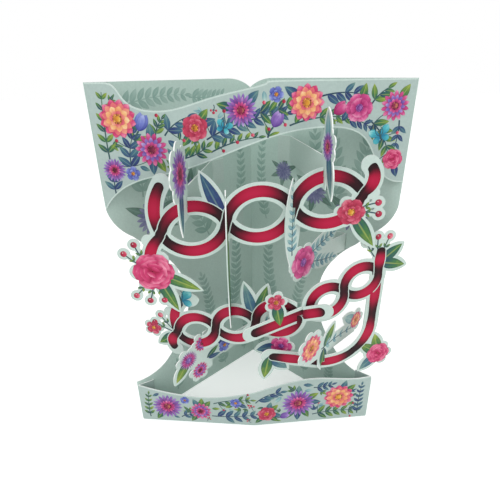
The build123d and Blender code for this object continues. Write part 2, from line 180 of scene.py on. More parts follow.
# %% [markdown]
# ## Card stock
#
# Greeting-card stock is coated board: smooth, faintly fibrous, and matt enough to write on. Seen closely
# its tint is never quite even, so a fine fibre noise moves both the colour and the surface. The cover and
# bands are mint; the die-cut pieces show a paler, almost white border all round their print. Only the faces
# are tinted: the core is white, and it shows as a bright line wherever the board is cut. All the faces here
# are upright, so a surface that looks up or down is a cut edge. A scan of board would do as well, but a
# noise that follows the object needs no seams and runs unbroken round a fold.

# %% Card materials
# Real fibres are finer than this; they are drawn just coarse enough to show
cloud_size, fibre_size = 14 * mm, 0.9 * mm


def card_stock(name, body, deep, roughness):
    """Coated board: two near tints mottled at fibre size, with a slight tooth."""
    paper, tree, shader = new_material(name)
    place = {"Vector": put(tree, "ShaderNodeTexCoord").outputs["Object"]}
    cloud = put(tree, "ShaderNodeTexNoise", {"Scale": 1 / cloud_size, "Detail": 3.0}, place)
    fibre = put(tree, "ShaderNodeTexNoise", {"Scale": 1 / fibre_size, "Detail": 4.0}, place)
    both = {0: cloud.outputs["Fac"], 2: fibre.outputs["Fac"]}
    blend = put(tree, "ShaderNodeMath", {1: 0.5}, both, operation="MULTIPLY_ADD")
    tone = put(tree, "ShaderNodeMapRange", {"From Min": 0.45, "From Max": 1.05}, {"Value": blend.outputs[0]})
    colour = put(tree, "ShaderNodeValToRGB", links={"Fac": tone.outputs["Result"]})
    set_stops(colour, (deep, body))
    tooth_depth = {"Strength": 0.12, "Distance": 0.05 * mm}
    tooth = put(tree, "ShaderNodeBump", tooth_depth, {"Height": fibre.outputs["Fac"]})
    facing = put(tree, "ShaderNodeNewGeometry")
    upward = put(tree, "ShaderNodeSeparateXYZ", links={0: facing.outputs["True Normal"]})
    tilted = put(tree, "ShaderNodeMath", links={0: upward.outputs["Z"]}, operation="ABSOLUTE")
    cut_slope = {"From Min": 0.08, "From Max": 0.3}
    cut_edge = put(tree, "ShaderNodeMapRange", cut_slope, {"Value": tilted.outputs[0]})
    cored = put(
        tree,
        "ShaderNodeMix",
        {"B": linear("#f7faf8")},
        {"Factor": cut_edge.outputs["Result"], "A": colour.outputs["Color"]},
        data_type="RGBA",
    )
    tree.links.new(cored.outputs["Result"], shader.inputs["Base Color"])
    tree.links.new(tooth.outputs["Normal"], shader.inputs["Normal"])
    shader.inputs["Roughness"].default_value = roughness
    shader.inputs["IOR"].default_value = 1.48
    return paper


cover_card = card_stock("mint_coated_board", "#c6dcd3", "#bad1c8", 0.62)
band_card = card_stock("mint_printed_board", "#aec1bb", "#a3b6b1", 0.5)
border_card = card_stock("pale_die_cut_board", "#c8d9d2", "#bccfc7", 0.5)
for name, sheet_object in sheets.items():
    stock = cover_card if name == "cover" else band_card if "band" in name else border_card
    sheet_object.data.materials.clear()
    sheet_object.data.materials.append(stock)
print("card stock on", len(sheets), "sheets")

# %% [markdown]
# ## Watercolour inks
#
# The print imitates watercolour: a petal or leaf is dark at its root, runs to a light tip, is streaked
# along its length, and dries with a darker edge. A picture could be laid over the sheets, but drawn shapes
# stay sharp however close one looks. So each painted shape carries a UV map, with u along it and v across
# it, and a number of its own called tint, and one recipe turns these into colour. Leaves add a pale midrib.
# Offset ink on coated board dries half matt, which keeps the colours deep and the highlights soft.

# %% Ink materials
palette = []
# Pools of pigment are about as wide as a petal
pool_size = 2.4 * mm
# Where an edge and a midrib lie, as shares of the half width, and how strong they are
dried_edge = {"From Min": 0.3, "From Max": 0.5, "To Min": 0.0, "To Max": 0.35}
midrib = {"From Min": 0.02, "From Max": 0.09, "To Max": 0.0}


def watercolour(name, stops, streaks, tint_pull, along_pull, rib=0.0):
    """Watercolour ink: a ramp along the shape, with streaks, pools, a dried edge and perhaps a midrib."""
    ink, tree, shader = new_material(name)
    place = put(tree, "ShaderNodeTexCoord")
    tint = put(tree, "ShaderNodeAttribute", attribute_name="tint")
    uv = put(tree, "ShaderNodeSeparateXYZ", links={0: place.outputs["UV"]})
    board = {"Vector": place.outputs["Object"]}
    pool = put(tree, "ShaderNodeTexNoise", {"Scale": 1 / pool_size, "Detail": 2.0}, board)
    brush = put(tree, "ShaderNodeMapping", {"Scale": (1.2, streaks, 1.0)}, {"Vector": place.outputs["UV"]})
    own = put(tree, "ShaderNodeMath", {1: 60.0}, {0: tint.outputs["Fac"]}, operation="MULTIPLY")
    streak = put(
        tree,
        "ShaderNodeTexNoise",
        {"Scale": 1.0, "Detail": 2.0},
        {"Vector": brush.outputs[0], "W": own.outputs[0]},
        noise_dimensions="4D",
    )
    mixed = put(tree, "ShaderNodeMath", {1: along_pull}, {0: uv.outputs["X"]}, operation="MULTIPLY")
    for pull, source in ((0.5, pool), (0.5, streak), (tint_pull, tint)):
        added = {0: source.outputs["Fac"], 2: mixed.outputs[0]}
        mixed = put(tree, "ShaderNodeMath", {1: pull}, added, operation="MULTIPLY_ADD")
    spread = put(
        tree,
        "ShaderNodeMapRange",
        {"From Min": 0.42, "From Max": 0.58 + along_pull + tint_pull},
        {"Value": mixed.outputs[0]},
    )
    colour = put(tree, "ShaderNodeValToRGB", links={"Fac": spread.outputs["Result"]})
    set_stops(colour, stops)
    middle = put(tree, "ShaderNodeMath", {1: 0.5}, {0: uv.outputs["Y"]}, operation="SUBTRACT")
    off_middle = put(tree, "ShaderNodeMath", links={0: middle.outputs[0]}, operation="ABSOLUTE")
    result = colour.outputs["Color"]
    marks = [(dried_edge, stops[0])]
    if rib:
        marks.append(({**midrib, "To Min": rib}, stops[-1]))
    for strip, tone in marks:
        share = put(tree, "ShaderNodeMapRange", strip, {"Value": off_middle.outputs[0]})
        over = {"Factor": share.outputs["Result"], "A": result}
        result = put(tree, "ShaderNodeMix", {"B": linear(tone)}, over, data_type="RGBA").outputs["Result"]
    tree.links.new(result, shader.inputs["Base Color"])
    shader.inputs["Roughness"].default_value = 0.5
    shader.inputs["Specular IOR Level"].default_value = 0.3
    palette.append(ink)
    return len(palette) - 1


print("pools of pigment are", round(pool_size / mm, 1), "mm wide")

# %% The palette
# Colours run from root to tip; then come the streaks, the pull of the tint, the pull along and the midrib
leaf_green = watercolour(
    "leaf_green_ink", ("#1a264f", "#235059", "#3c7143", "#7c973a", "#b2bb60"), 5, 0.55, 0.75, 0.5
)
leaf_navy = watercolour("leaf_navy_ink", ("#1a2350", "#2b3f70", "#3f6a7c", "#7da08f"), 5, 0.5, 0.65, 0.5)
fern_teal = watercolour("fern_teal_ink", ("#2b5f78", "#5f8f9c", "#8fb5b4", "#c3d8cf"), 5, 0.5, 0.6, 0.4)
stem_ink = watercolour("stem_ink", ("#1f3050", "#2d4f55", "#4c6f50"), 2, 0.6, 0.5)
rose_ink = watercolour("rose_pink_ink", ("#70062b", "#aa174a", "#cd3f72", "#f09ab4"), 3, 0.25, 1.0)
coral_ink = watercolour("coral_ink", ("#9c2449", "#cc4568", "#e07b73", "#f2bd94"), 4, 0.5, 0.9)
peach_ink = watercolour("peach_ink", ("#b54442", "#da7c54", "#ecb178", "#f8dcac"), 4, 0.4, 0.8)
heart_ink = watercolour("flower_heart_ink", ("#2c0716", "#5e1032", "#93304c", "#e0a25c"), 3, 0.7, 0.5)
magenta_ink = watercolour("magenta_ink", ("#5c0a3f", "#9e1d61", "#ca4c88", "#eaa5c3"), 8, 0.3, 0.8)
violet_ink = watercolour("violet_ink", ("#352061", "#613f91", "#8c6cb6", "#c5b2df"), 6, 0.4, 0.8)
blue_ink = watercolour("bluebell_ink", ("#1f2563", "#414a9b", "#707cc3", "#b3bee6"), 7, 0.4, 0.8)
red_ink = watercolour("red_flower_ink", ("#4d0a20", "#951b39", "#be3c5a", "#e48e9f"), 6, 0.3, 0.8)
thistle_ink = watercolour("thistle_purple_ink", ("#2e1545", "#5d2c75", "#9658a5", "#cda0d2"), 5, 0.4, 0.8)
teal_ink = watercolour("butterfly_teal_ink", ("#124a6c", "#1f7f9f", "#4fb3bd", "#b4e3dd"), 6, 0.3, 0.7)
gold_ink = watercolour("pollen_gold_ink", ("#4a1f18", "#8d4a1e", "#d9962f", "#f6dc7c"), 3, 0.6, 0.5)
berry_ink = watercolour("berry_ink", ("#5c0d24", "#9c1d3a", "#c8405c", "#efa3b0"), 2, 0.5, 0.6)
ghost_ink = watercolour("ghost_sprig_ink", ("#8aaca2", "#9cbab0", "#b4cdc4"), 4, 0.5, 0.5, 0.4)
ghost_violet = watercolour("ghost_aster_ink", ("#5f5d8c", "#7f80a8", "#a6abc4"), 6, 0.4, 0.6)
ghost_leaf = watercolour("ghost_leaf_ink", ("#56756a", "#6d8c80", "#93ada1"), 4, 0.5, 0.5, 0.4)
print("inks:", len(palette))
palette.append(border_card)
border_ink = len(palette) - 1

# %% [markdown]
# The ribbons are painted like strokes of a broad brush: wine-black where a stroke starts, ends or dives
# under another, crimson in its full middle. A gradient from the UV map would repeat on every link alike, so
# here the tint of each point says where it is on the stroke. Across it only the edges darken a little, with
# fine streaks along the run.

# %% Ribbon ink
ribbon_paint, tree, ribbon_shader = new_material("crimson_ribbon_ink")
place = put(tree, "ShaderNodeTexCoord")
uv = put(tree, "ShaderNodeSeparateXYZ", links={0: place.outputs["UV"]})
tint = put(tree, "ShaderNodeAttribute", attribute_name="tint")
brush = put(tree, "ShaderNodeMapping", {"Scale": (3.0, 9.0, 1.0)}, {"Vector": place.outputs["UV"]})
satin = put(tree, "ShaderNodeTexNoise", {"Scale": 1.0, "Detail": 3.0}, {"Vector": brush.outputs[0]})
streak = put(tree, "ShaderNodeMapRange", {"To Min": -0.08, "To Max": 0.08}, {"Value": satin.outputs["Fac"]})
streaked = {0: tint.outputs["Fac"], 1: streak.outputs["Result"]}
lit = put(tree, "ShaderNodeMath", links=streaked, operation="ADD")
from_middle = put(tree, "ShaderNodeMath", {1: 0.45}, {0: uv.outputs["Y"]}, operation="SUBTRACT")
off_middle = put(tree, "ShaderNodeMath", links={0: from_middle.outputs[0]}, operation="ABSOLUTE")
edge_shade = put(
    tree,
    "ShaderNodeMapRange",
    {"From Min": 0.12, "From Max": 0.55, "To Min": 0.03, "To Max": -0.14},
    {"Value": off_middle.outputs[0]},
)
shaded = {0: lit.outputs[0], 1: edge_shade.outputs["Result"]}
toned = put(tree, "ShaderNodeMath", links=shaded, operation="ADD")
colour = put(tree, "ShaderNodeValToRGB", links={"Fac": toned.outputs[0]})
set_stops(colour, ("#0e0206", "#2e040f", "#730a27", "#a41036", "#b81b43"))
tree.links.new(colour.outputs["Color"], ribbon_shader.inputs["Base Color"])
ribbon_shader.inputs["Roughness"].default_value = 0.45
ribbon_shader.inputs["Specular IOR Level"].default_value = 0.2
palette.append(ribbon_paint)
ribbon_ink = len(palette) - 1
print("with the border and the ribbon:", len(palette), "inks")

# %% [markdown]
# ## Drawing tools
#
# Every printed shape starts flat, in millimetres, as a grid that is drawn out into a petal, a leaf or a
# stretch of ribbon. Filled curves could draw the same outlines, but a grid also says how far along and across
# the shape each point lies, which the inks need. The third coordinate is its height above the card, a few
# hundredths of a millimetre, which keeps overlapping inks in order. When a sheet's drawing is complete, its
# slots are cut, it is laid onto the sheet's face, and a Solidify modifier gives it the thickness of a film of
# ink.

# %% Flat shapes
film = 0.03
weld = 0.0005
golden_share = 0.618034
drawn_shapes = 0


def new_print():
    """An empty flat drawing, with a UV map and a tint."""
    art = bmesh.new()
    art.loops.layers.uv.new("UVMap")
    art.verts.layers.float.new("tint")
    return art


def step(length, turn):
    """A flat vector of that length at that turn."""
    return Vector((length * math.cos(math.radians(turn)), length * math.sin(math.radians(turn))))


def turn_of(flat):
    """The turn of a flat vector."""
    return math.degrees(math.atan2(flat[1], flat[0]))


def own_tint():
    """A new tint for each shape, spread evenly by the golden ratio."""
    global drawn_shapes
    drawn_shapes += 1
    return drawn_shapes * golden_share % 1.0


def grid(art, ink, cells):
    """The vertices of a new grid in that ink, one unit square, with u along it and v across it."""
    verts = bmesh.ops.create_grid(art, x_segments=cells[0], y_segments=cells[1], size=0.5)["verts"]
    layer = art.loops.layers.uv["UVMap"]
    for face in {face for vert in verts for face in vert.link_faces}:
        face.material_index = ink
        for corner in face.loops:
            corner[layer].uv = (corner.vert.co.x + 0.5, corner.vert.co.y + 0.5)
    return verts


def blade(art, ink, root, turn, length, width, height, taper=(0.85, 1.0), cells=(8, 2), lean=0.0, curve=0.0):
    """A leaf or petal: a grid drawn into a pointed oval that starts at its root."""
    verts = grid(art, ink, cells)
    layer = art.verts.layers.float["tint"]
    tint_here = own_tint()
    along_axis = step(1, turn)
    for vert in verts:
        along = min(max(vert.co.x + 0.5, 0.0), 1.0)
        across = vert.co.y
        swell = max(math.sin(math.pi * along ** taper[0]), 0.0) ** taper[1]
        run = length * along
        off = width * across * swell + curve * length * along * along
        shift = (along_axis.x * run - along_axis.y * off, along_axis.y * run + along_axis.x * off)
        flat = Vector(root) + Vector(shift)
        vert.co = (flat.x, flat.y, height + lean * (across + 0.5))
        vert[layer] = tint_here
    bmesh.ops.remove_doubles(art, verts=verts, dist=weld)


def disc(art, ink, middle, radius, height, segments=12):
    """A round dot of ink."""
    verts = bmesh.ops.create_circle(
        art,
        cap_ends=True,
        segments=segments,
        radius=radius,
        matrix=Matrix.Translation((middle[0], middle[1], height)),
        calc_uvs=True,
    )["verts"]
    layer = art.verts.layers.float["tint"]
    tint_here = own_tint()
    for vert in verts:
        vert[layer] = tint_here
    for face in {face for vert in verts for face in vert.link_faces}:
        face.material_index = ink


print("flat shapes: blade, disc")

# %% Paths
joint_ease = 0.12


def bow(start, end, sag):
    """A path from start to end that bows to the left by the sag."""
    chord = Vector(end) - Vector(start)
    across = Vector((-chord.y, chord.x)).normalized()
    if abs(sag) < 0.01:
        return lambda share: Vector(start) + chord * share
    half_turn = 2 * math.atan(2 * sag / chord.length)
    radius = chord.length / 2 / math.sin(half_turn)

    def point(share):
        angle = half_turn * (2 * share - 1)
        run = 0.5 + radius * math.sin(angle) / chord.length
        return Vector(start) + chord * run + across * radius * (math.cos(angle) - math.cos(half_turn))

    return point


def chain(paths):
    """One path made of several in a row, eased at the joints; its share runs from 0 to their number."""
    last = len(paths)

    def raw(share):
        part = min(max(int(share), 0), last - 1)
        return paths[part](share - part)

    def point(share):
        joint = round(share)
        ease = joint_ease - abs(share - joint)
        if ease <= 0 or joint in (0, last):
            return raw(share)
        return (raw(share - ease) + raw(share + ease)) / 2

    return point


def evenly(path, reach):
    """The same path with its share, from 0 to 1, in step with its length."""
    samples = 400
    spots = [path(reach * part / samples) for part in range(samples + 1)]
    runs = [0.0]
    for start, end in zip(spots, spots[1:]):
        runs.append(runs[-1] + (end - start).length)

    def point(share):
        at = min(bisect.bisect_right(runs, share * runs[-1]), samples)
        before, after = runs[at - 1], runs[at]
        return spots[at - 1].lerp(spots[at], (share * runs[-1] - before) / max(after - before, 1e-9))

    return point


def line(art, ink, path, reach, width, height, cells, lit=None, ease=False):
    """A stretch of ribbon or stem along a path, closer drawn at its ends where ease is set.

    Width, height and lit may be functions of the share."""
    verts = grid(art, ink, cells)
    layer = art.verts.layers.float["tint"]
    tint_here = own_tint()
    small = 0.002 * reach
    for vert in verts:
        run = min(max(vert.co.x + 0.5, 0.0), 1.0)
        share = (0.5 - 0.5 * math.cos(math.pi * run) if ease else run) * reach
        here = path(share)
        ahead = path(min(share + small, reach)) - path(max(share - small, 0.0))
        left = Vector((-ahead.y, ahead.x)).normalized()
        wide = width(share) if callable(width) else width
        high = height(share) if callable(height) else height
        flat = here + left * wide * vert.co.y
        vert[layer] = tint_here if lit is None else lit(share)
        vert.co = (flat.x, flat.y, high)
    bmesh.ops.remove_doubles(art, verts=verts, dist=weld)


print("paths: bow, chain, evenly; drawn by line")

# %% [markdown]
# ## Flowers, sprigs and berries
#
# A printed flower is rings of petals laid over each other from the outside in, each petal leaning a little
# over its neighbour, round a heart of dots. The kinds differ in how many petals a ring has, how wide they are
# and where they are widest. A sprig is a bowed stem with leaves in pairs that grow smaller to the tip. Each
# motif could be drawn by hand wherever it is needed; a function for each keeps them alike and lets the tint
# make no two the same.

# %% Flower kinds
# Each kind: the ink of its heart, then its rings from the outside in. Each ring: petals, length share,
# width share, turn in petal steps, root share, taper, ink
flower_kinds = {
    "rose": (
        None,
        (6, 1.0, 0.86, 0.0, 0.12, (1.8, 0.5), rose_ink),
        (5, 0.84, 0.98, 0.5, 0.08, (1.8, 0.5), rose_ink),
        (4, 0.64, 0.92, 0.2, 0.05, (1.7, 0.5), rose_ink),
        (3, 0.46, 0.76, 0.6, 0.03, (1.6, 0.5), rose_ink),
        (2, 0.28, 0.5, 0.3, 0.0, (1.5, 0.5), rose_ink),
    ),
    "dahlia": (
        gold_ink,
        (12, 1.0, 0.46, 0.0, 0.2, (1.5, 0.8), rose_ink),
        (11, 0.84, 0.42, 0.5, 0.14, (1.5, 0.8), coral_ink),
        (9, 0.66, 0.38, 0.2, 0.1, (1.5, 0.8), peach_ink),
        (7, 0.45, 0.3, 0.6, 0.05, (1.5, 0.8), coral_ink),
    ),
    "aster": (
        heart_ink,
        (20, 1.0, 0.2, 0.0, 0.22, (1.4, 0.7), violet_ink),
        (18, 0.8, 0.18, 0.5, 0.18, (1.4, 0.7), thistle_ink),
        (14, 0.52, 0.16, 0.2, 0.1, (1.4, 0.7), magenta_ink),
    ),
    "daisy": (
        heart_ink,
        (14, 1.0, 0.3, 0.0, 0.24, (1.5, 0.7), magenta_ink),
        (12, 0.72, 0.26, 0.5, 0.16, (1.5, 0.7), violet_ink),
        (10, 0.48, 0.24, 0.2, 0.1, (1.5, 0.7), magenta_ink),
    ),
    "poppy": (
        thistle_ink,
        (6, 1.0, 0.86, 0.0, 0.1, (1.9, 0.5), magenta_ink),
        (5, 0.66, 0.8, 0.4, 0.06, (1.8, 0.5), magenta_ink),
    ),
    "red": (
        gold_ink,
        (6, 1.0, 0.84, 0.0, 0.12, (1.6, 0.6), red_ink),
        (6, 0.7, 0.66, 0.5, 0.08, (1.6, 0.6), red_ink),
        (6, 0.42, 0.42, 0.2, 0.04, (1.5, 0.6), red_ink),
    ),
    "blue": (
        gold_ink,
        (5, 1.0, 0.86, 0.0, 0.1, (1.6, 0.55), blue_ink),
        (5, 0.56, 0.5, 0.5, 0.05, (1.6, 0.6), blue_ink),
    ),
    "ghost": (
        ghost_violet,
        (18, 1.0, 0.22, 0.0, 0.2, (1.4, 0.7), ghost_violet),
        (15, 0.7, 0.2, 0.5, 0.14, (1.4, 0.7), ghost_violet),
    ),
    "thistle": (
        violet_ink,
        (26, 1.0, 0.13, 0.0, 0.1, (1.2, 0.8), thistle_ink),
        (20, 0.78, 0.13, 0.5, 0.08, (1.2, 0.8), magenta_ink),
        (14, 0.5, 0.12, 0.3, 0.05, (1.2, 0.8), thistle_ink),
    ),
}
print("flower kinds:", ", ".join(flower_kinds))

# %% Flowers and leaves
# Heights above the card, from the lowest ink to the highest
leaf_level, leaf_shuffle = 0.02, 0.012
sprig_level, stem_level, leaflet_level = 0.04, 0.045, 0.05
berry_level, petal_level = 0.075, 0.09
over_leaves, over_ribbons, over_flowers, on_top_of_all = 0.1, 0.11, 0.12, 0.13
petal_rise, petal_lean, petal_cells = 0.03, 0.012, (7, 4)
leaf_taper, leaf_cells = (0.85, 0.9), (9, 2)
heart_seeds, heart_share = 12, 0.17
seed_ring_share, seed_share, seed_rise = 0.22, 0.055, 0.01


def flower(art, middle, radius, kind, turn=0.0, height=petal_level, lobes=None):
    """Rings of petals from the outside in, then the heart; lobes sets how many petals the outer ring has."""
    heart, *rings = flower_kinds[kind]
    for layer, (petals, reach, wide, shift, root, taper, ink) in enumerate(rings):
        petals = lobes if lobes and layer == 0 else petals
        for petal in range(petals):
            angle = turn + 360 * (petal + shift) / petals
            inner = radius * root
            foot = Vector(middle) + step(inner, angle)
            length, level = radius * reach - inner, height + layer * petal_rise
            blade(art, ink, foot, angle, length, radius * wide, level, taper, petal_cells, lean=petal_lean)
    if heart is not None:
        top = height + len(rings) * petal_rise
        disc(art, heart, middle, radius * heart_share, top, 16)
        for seed in range(heart_seeds):
            place = Vector(middle) + step(radius * seed_ring_share, seed * 360 / heart_seeds)
            disc(art, heart, place, radius * seed_share, top + seed_rise, 8)


def leaf(art, root, turn, length, width, ink=leaf_green, height=leaf_level):
    """One leaf, a hair higher or lower than its neighbours."""
    level = height + leaf_shuffle * own_tint()
    blade(art, ink, root, turn, length, width, level, leaf_taper, leaf_cells)


print("a flower rises by", petal_rise, "mm from ring to ring")

# %% Berries and sprigs
berry_radius, berry_reach, berry_fan = 1.4, 5.5, 25.0
berry_stem, berry_stem_sag = 0.55, 0.6
shine_out_share, shine_share, shine_turn = 0.42, 0.16, 120
leaflet_length, leaflet_width, leaflet_bend = 2.6, 1.2, 40
sprig_stem, sprig_thinning, stem_sink = 0.65, 0.35, 0.01
thin_stem, thin_stem_sag = 0.3, 0.3
# The bare ends of a stem, in steps from pair to pair
bare_foot_share, bare_tip_share, nearby_share = 0.7, 0.35, 0.01
sprig_bend, sprig_unbend, sprig_shrink_share, slim_share = 48, 8, 0.4, 0.42
dot_radius, dot_rise, dot_reach_share, dot_bend_share = 0.7, 0.03, 1.12, 1.7
tip_leaf_share, tip_width_share, near_tip_share = 0.62, 0.24, 0.97
pair_room_share, tip_room_share = 0.58, 0.5


def berries(art, root, turn, stem, sides=(-1, 0, 1)):
    """Berries on stems that fan from a common root, with a pair of small leaves on each stem."""
    for side in sides:
        heading = turn + side * berry_fan
        middle = Vector(root) + step(stem, heading)
        line(art, stem_ink, bow(root, middle, berry_stem_sag), 1, berry_stem, stem_level, (6, 1))
        joint = Vector(root) + step(stem - berry_reach, heading)
        for bend in (leaflet_bend, -leaflet_bend):
            leaf(art, joint, heading + bend, leaflet_length, leaflet_width, leaf_green, leaflet_level)
        disc(art, berry_ink, middle, berry_radius, berry_level, 18)
        shine = middle + step(berry_radius * shine_out_share, shine_turn)
        disc(art, border_ink, shine, berry_radius * shine_share, petal_level, 8)


def anywhere(spot):
    """The test for a drawing that has room on all sides."""
    return True


def sprig(art, root, turn, length, sag, pairs, size, ink, dots=None, fits=anywhere):
    """A bowed stem with leaves in pairs, and berries beside them where dots gives their ink.

    A leaf or berry whose tip does not fit is left out. Gives back the places taken and their room."""
    height = sprig_level
    path = bow(root, Vector(root) + step(length, turn), sag)
    stem = ghost_ink if ink == ghost_ink else stem_ink

    def stem_width(share):
        return sprig_stem - sprig_thinning * share

    line(art, stem, path, 1, stem_width, height - stem_sink, (14, 1))
    spots = []
    for pair in range(pairs):
        share = (pair + bare_foot_share) / (pairs + bare_tip_share)
        ahead = path(min(share + nearby_share, 1)) - path(share - nearby_share)
        heading = turn_of(ahead)
        grown = size * (1.0 - sprig_shrink_share * share)
        for side in (1, -1):
            bend = side * (sprig_bend - sprig_unbend * share)
            if fits(path(share) + step(grown, heading + bend)):
                leaf(art, path(share), heading + bend, grown, grown * slim_share, ink, height)
            tip = path(share) + step(grown * dot_reach_share, heading + bend * dot_bend_share)
            if dots is not None and pair % 2 == 0 and fits(tip):
                line(art, stem_ink, bow(path(share), tip, thin_stem_sag * side), 1, thin_stem, height, (4, 1))
                disc(art, dots, tip, dot_radius, height + dot_rise, 10)
        spots.append((path(share), grown * pair_room_share))
    heading = turn_of(path(1) - path(near_tip_share))
    if fits(path(1) + step(size * tip_leaf_share, heading)):
        leaf(art, path(1), heading, size * tip_leaf_share, size * tip_width_share, ink, height)
    spots.append((path(1), size * tip_room_share))
    return spots


print("berries", 2 * berry_radius, "mm across")

# %% Cups and butterflies
wing_cells, cup_taper, butterfly_taper = (8, 4), (1.1, 0.7), (1.5, 0.6)
# Petals of a cup: bend, length, height above the card, curve
cup_petals = ((20, 1, 0.07, -0.16), (-20, 1, 0.08, 0.16), (0, 0.94, 0.1, 0.0))
cup_width_share, cup_stem_share, cup_stem, cup_stem_sag = 0.5, 0.7, 0.7, 0.4
cup_leaf_foot_share, cup_leaf_share, cup_leaf_width_share, cup_leaf_bend = 0.6, 0.75, 0.24, 42
feeler_share, feeler_bend, feeler_width = 0.7, 14, 0.25
body_back_share, body_share, body_width_share = 0.4, 0.8, 0.13
# Wings on one side of a butterfly: bend, length, width, height above the card
butterfly_wings = ((52, 1.0, 0.6, 0.08), (122, 0.72, 0.5, 0.07))


def tulip(art, foot, turn, size, ink):
    """A cup of three petals on a short stem."""
    for bend, share, height, curve in cup_petals:
        heading, length, width = turn + bend, size * share, size * cup_width_share
        blade(art, ink, foot, heading, length, width, height, cup_taper, wing_cells, curve=curve)
    stem = bow(Vector(foot) - step(size * cup_stem_share, turn), foot, cup_stem_sag)
    line(art, stem_ink, stem, 1, cup_stem, leaflet_level, (8, 1))
    root = Vector(foot) - step(size * cup_leaf_foot_share, turn)
    for side in (1, -1):
        heading = turn + side * cup_leaf_bend
        leaf(art, root, heading, size * cup_leaf_share, size * cup_leaf_width_share)


def butterfly(art, middle, turn, size, ink):
    """Four wings and a body."""
    for side in (1, -1):
        for bend, share, wide, height in butterfly_wings:
            wing = turn + side * bend
            blade(art, ink, middle, wing, size * share, size * wide, height, butterfly_taper, wing_cells)
        feeler = Vector(middle) + step(size * feeler_share, turn + side * feeler_bend)
        line(art, stem_ink, bow(middle, feeler, side), 1, feeler_width, over_leaves, (6, 1))
    tail = Vector(middle) - step(size * body_back_share, turn)
    blade(art, stem_ink, tail, turn, size * body_share, size * body_width_share, over_ribbons)


print("a cup has", len(cup_petals), "petals, a butterfly", 2 * len(butterfly_wings), "wings")

# %% [markdown]
# ## From flat drawing to sheet
#
# Each sheet is an upright plane, given by a point on the floor and the turn of its run, the same numbers that
# shaped the sheet itself. Slots are cut out of the drawing with bisect planes, so the ink stops where another
# sheet passes through. A band is two such planes that meet in a crease, and its drawing is split there.

# %% Laying a print
sheet, slot_play, overrun = 0.5, 0.15, 20
both_faces = (1, -1)


def upright(x, y, turn):
    """Places a flat point on an upright sheet: u along its run, z up, lift off its face."""
    run = step(1, turn)
    along, out = Vector((run.x, run.y, 0)), Vector((run.y, -run.x, 0))
    return lambda u, z, lift, side: (Vector((x, y, z)) + along * u + out * side * (sheet / 2 + lift)) * mm


def split(art, point, normal):
    """Adds edges where the drawing crosses a line."""
    everything = art.verts[:] + art.edges[:] + art.faces[:]
    bmesh.ops.bisect_plane(art, geom=everything, plane_co=(*point, 0), plane_no=(*normal, 0), dist=1e-6)


def cut_slot(art, x, z, crossing, upward):
    """Removes the ink inside a slot that starts at (x, z)."""
    angle = math.radians(crossing)
    half = (sheet / math.sin(angle) + sheet / math.tan(angle)) / 2 + slot_play
    for side in (-half, half):
        split(art, (x + side, z), (1, 0))
    split(art, (x, z), (0, 1))
    inside = []
    for face in art.faces:
        middle = face.calc_center_median()
        above = middle.y > z if upward else middle.y < z
        if abs(middle.x - x) < half and above and abs(middle.y - z) < overrun:
            inside.append(face)
    bmesh.ops.delete(art, geom=inside, context="FACES")


def lay(art, name, place, sides=(1,)):
    """Lays the drawing on one or both faces of its sheet and gives it the thickness of ink."""
    used = sorted({face.material_index for face in art.faces})
    for face in art.faces:
        face.material_index = used.index(face.material_index)
        if face.normal.z < 0:
            face.normal_flip()
    mesh = bpy.data.meshes.new(name)
    whole = bmesh.new()
    for side in sides:
        one = art.copy()
        for vert in one.verts:
            vert.co = place(vert.co.x, vert.co.y, vert.co.z, side)
        if side < 0:
            bmesh.ops.reverse_faces(one, faces=one.faces[:])
        half = bpy.data.meshes.new("half")
        one.to_mesh(half)
        one.free()
        whole.from_mesh(half)
        bpy.data.meshes.remove(half)
    whole.normal_update()
    whole.to_mesh(mesh)
    whole.free()
    art.free()
    for ink in used:
        mesh.materials.append(palette[ink])
    piece = bpy.data.objects.new(name, mesh)
    scene.collection.objects.link(piece)
    thickness = piece.modifiers.new("ink film", "SOLIDIFY")
    thickness.thickness = film * mm
    thickness.offset = -1.0
    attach(piece, "root")
    print(name, "has", len(mesh.polygons), "faces in", len(used), "inks")


print("ink", film, "mm thick on sheets of", sheet, "mm")

# %% [markdown]
# ## The three ribbon panels
#
# On the real card the middle is a row of red die-cut shapes with flowers at both ends. Here each panel is a
# twist of two ribbons. The ink could be an inset of the sheet's outline, but the strands have to pass over
# and under each other, so it is drawn along the same nodes, sags and slopes that cut the sheet.

# %% Ribbon drawing
ribbon_width, ribbon_card = 5.0, 7.6
border_width, border_drop = 0.9, 0.008
strand_level, strand_rise, strand_cells = 0.045, 0.05, 34
streamer_level = 0.04
# How bright the ink is: at the dark ends of a stroke, what its middle adds, and what passing over adds
dark_lit, middle_lit, over_lit = 0.06, 0.78, 0.16
streamer_dark_lit, streamer_middle_lit = 0.1, 0.7
# How wide a strand is at a crossing, and what the middle of a link adds
crossing_share, swell_share = 0.8, 0.2


def ribbon(art, path, reach, lit, height, cells, swell=None):
    """A ribbon with round ends, over a pale border that parts it from what lies below.

    Swell, where it is given, is the share of the full width at each point."""
    parts = 40
    spots = [path(reach * part / parts) for part in range(parts + 1)]
    length = sum((end - start).length for start, end in zip(spots, spots[1:]))
    tip = ribbon_width / 2 / length * reach

    def width(share):
        full = ribbon_width * (swell(share) if swell else 1.0)
        near = min(share, reach - share) / tip
        return full * math.sqrt(max(1 - (1 - near) ** 2, 0.0)) if near < 1 else full

    def wider(share):
        return width(share) + border_width

    def lower(share):
        return (height(share) if callable(height) else height) - border_drop

    line(art, border_ink, path, reach, wider, lower, (cells, 1), None, True)
    line(art, ribbon_ink, path, reach, width, height, (cells, 4), lit, True)


def stroke(share):
    """How bright a single stroke of the brush is: dark at both ends, full in the middle."""
    return streamer_dark_lit + streamer_middle_lit * math.sin(math.pi * share)


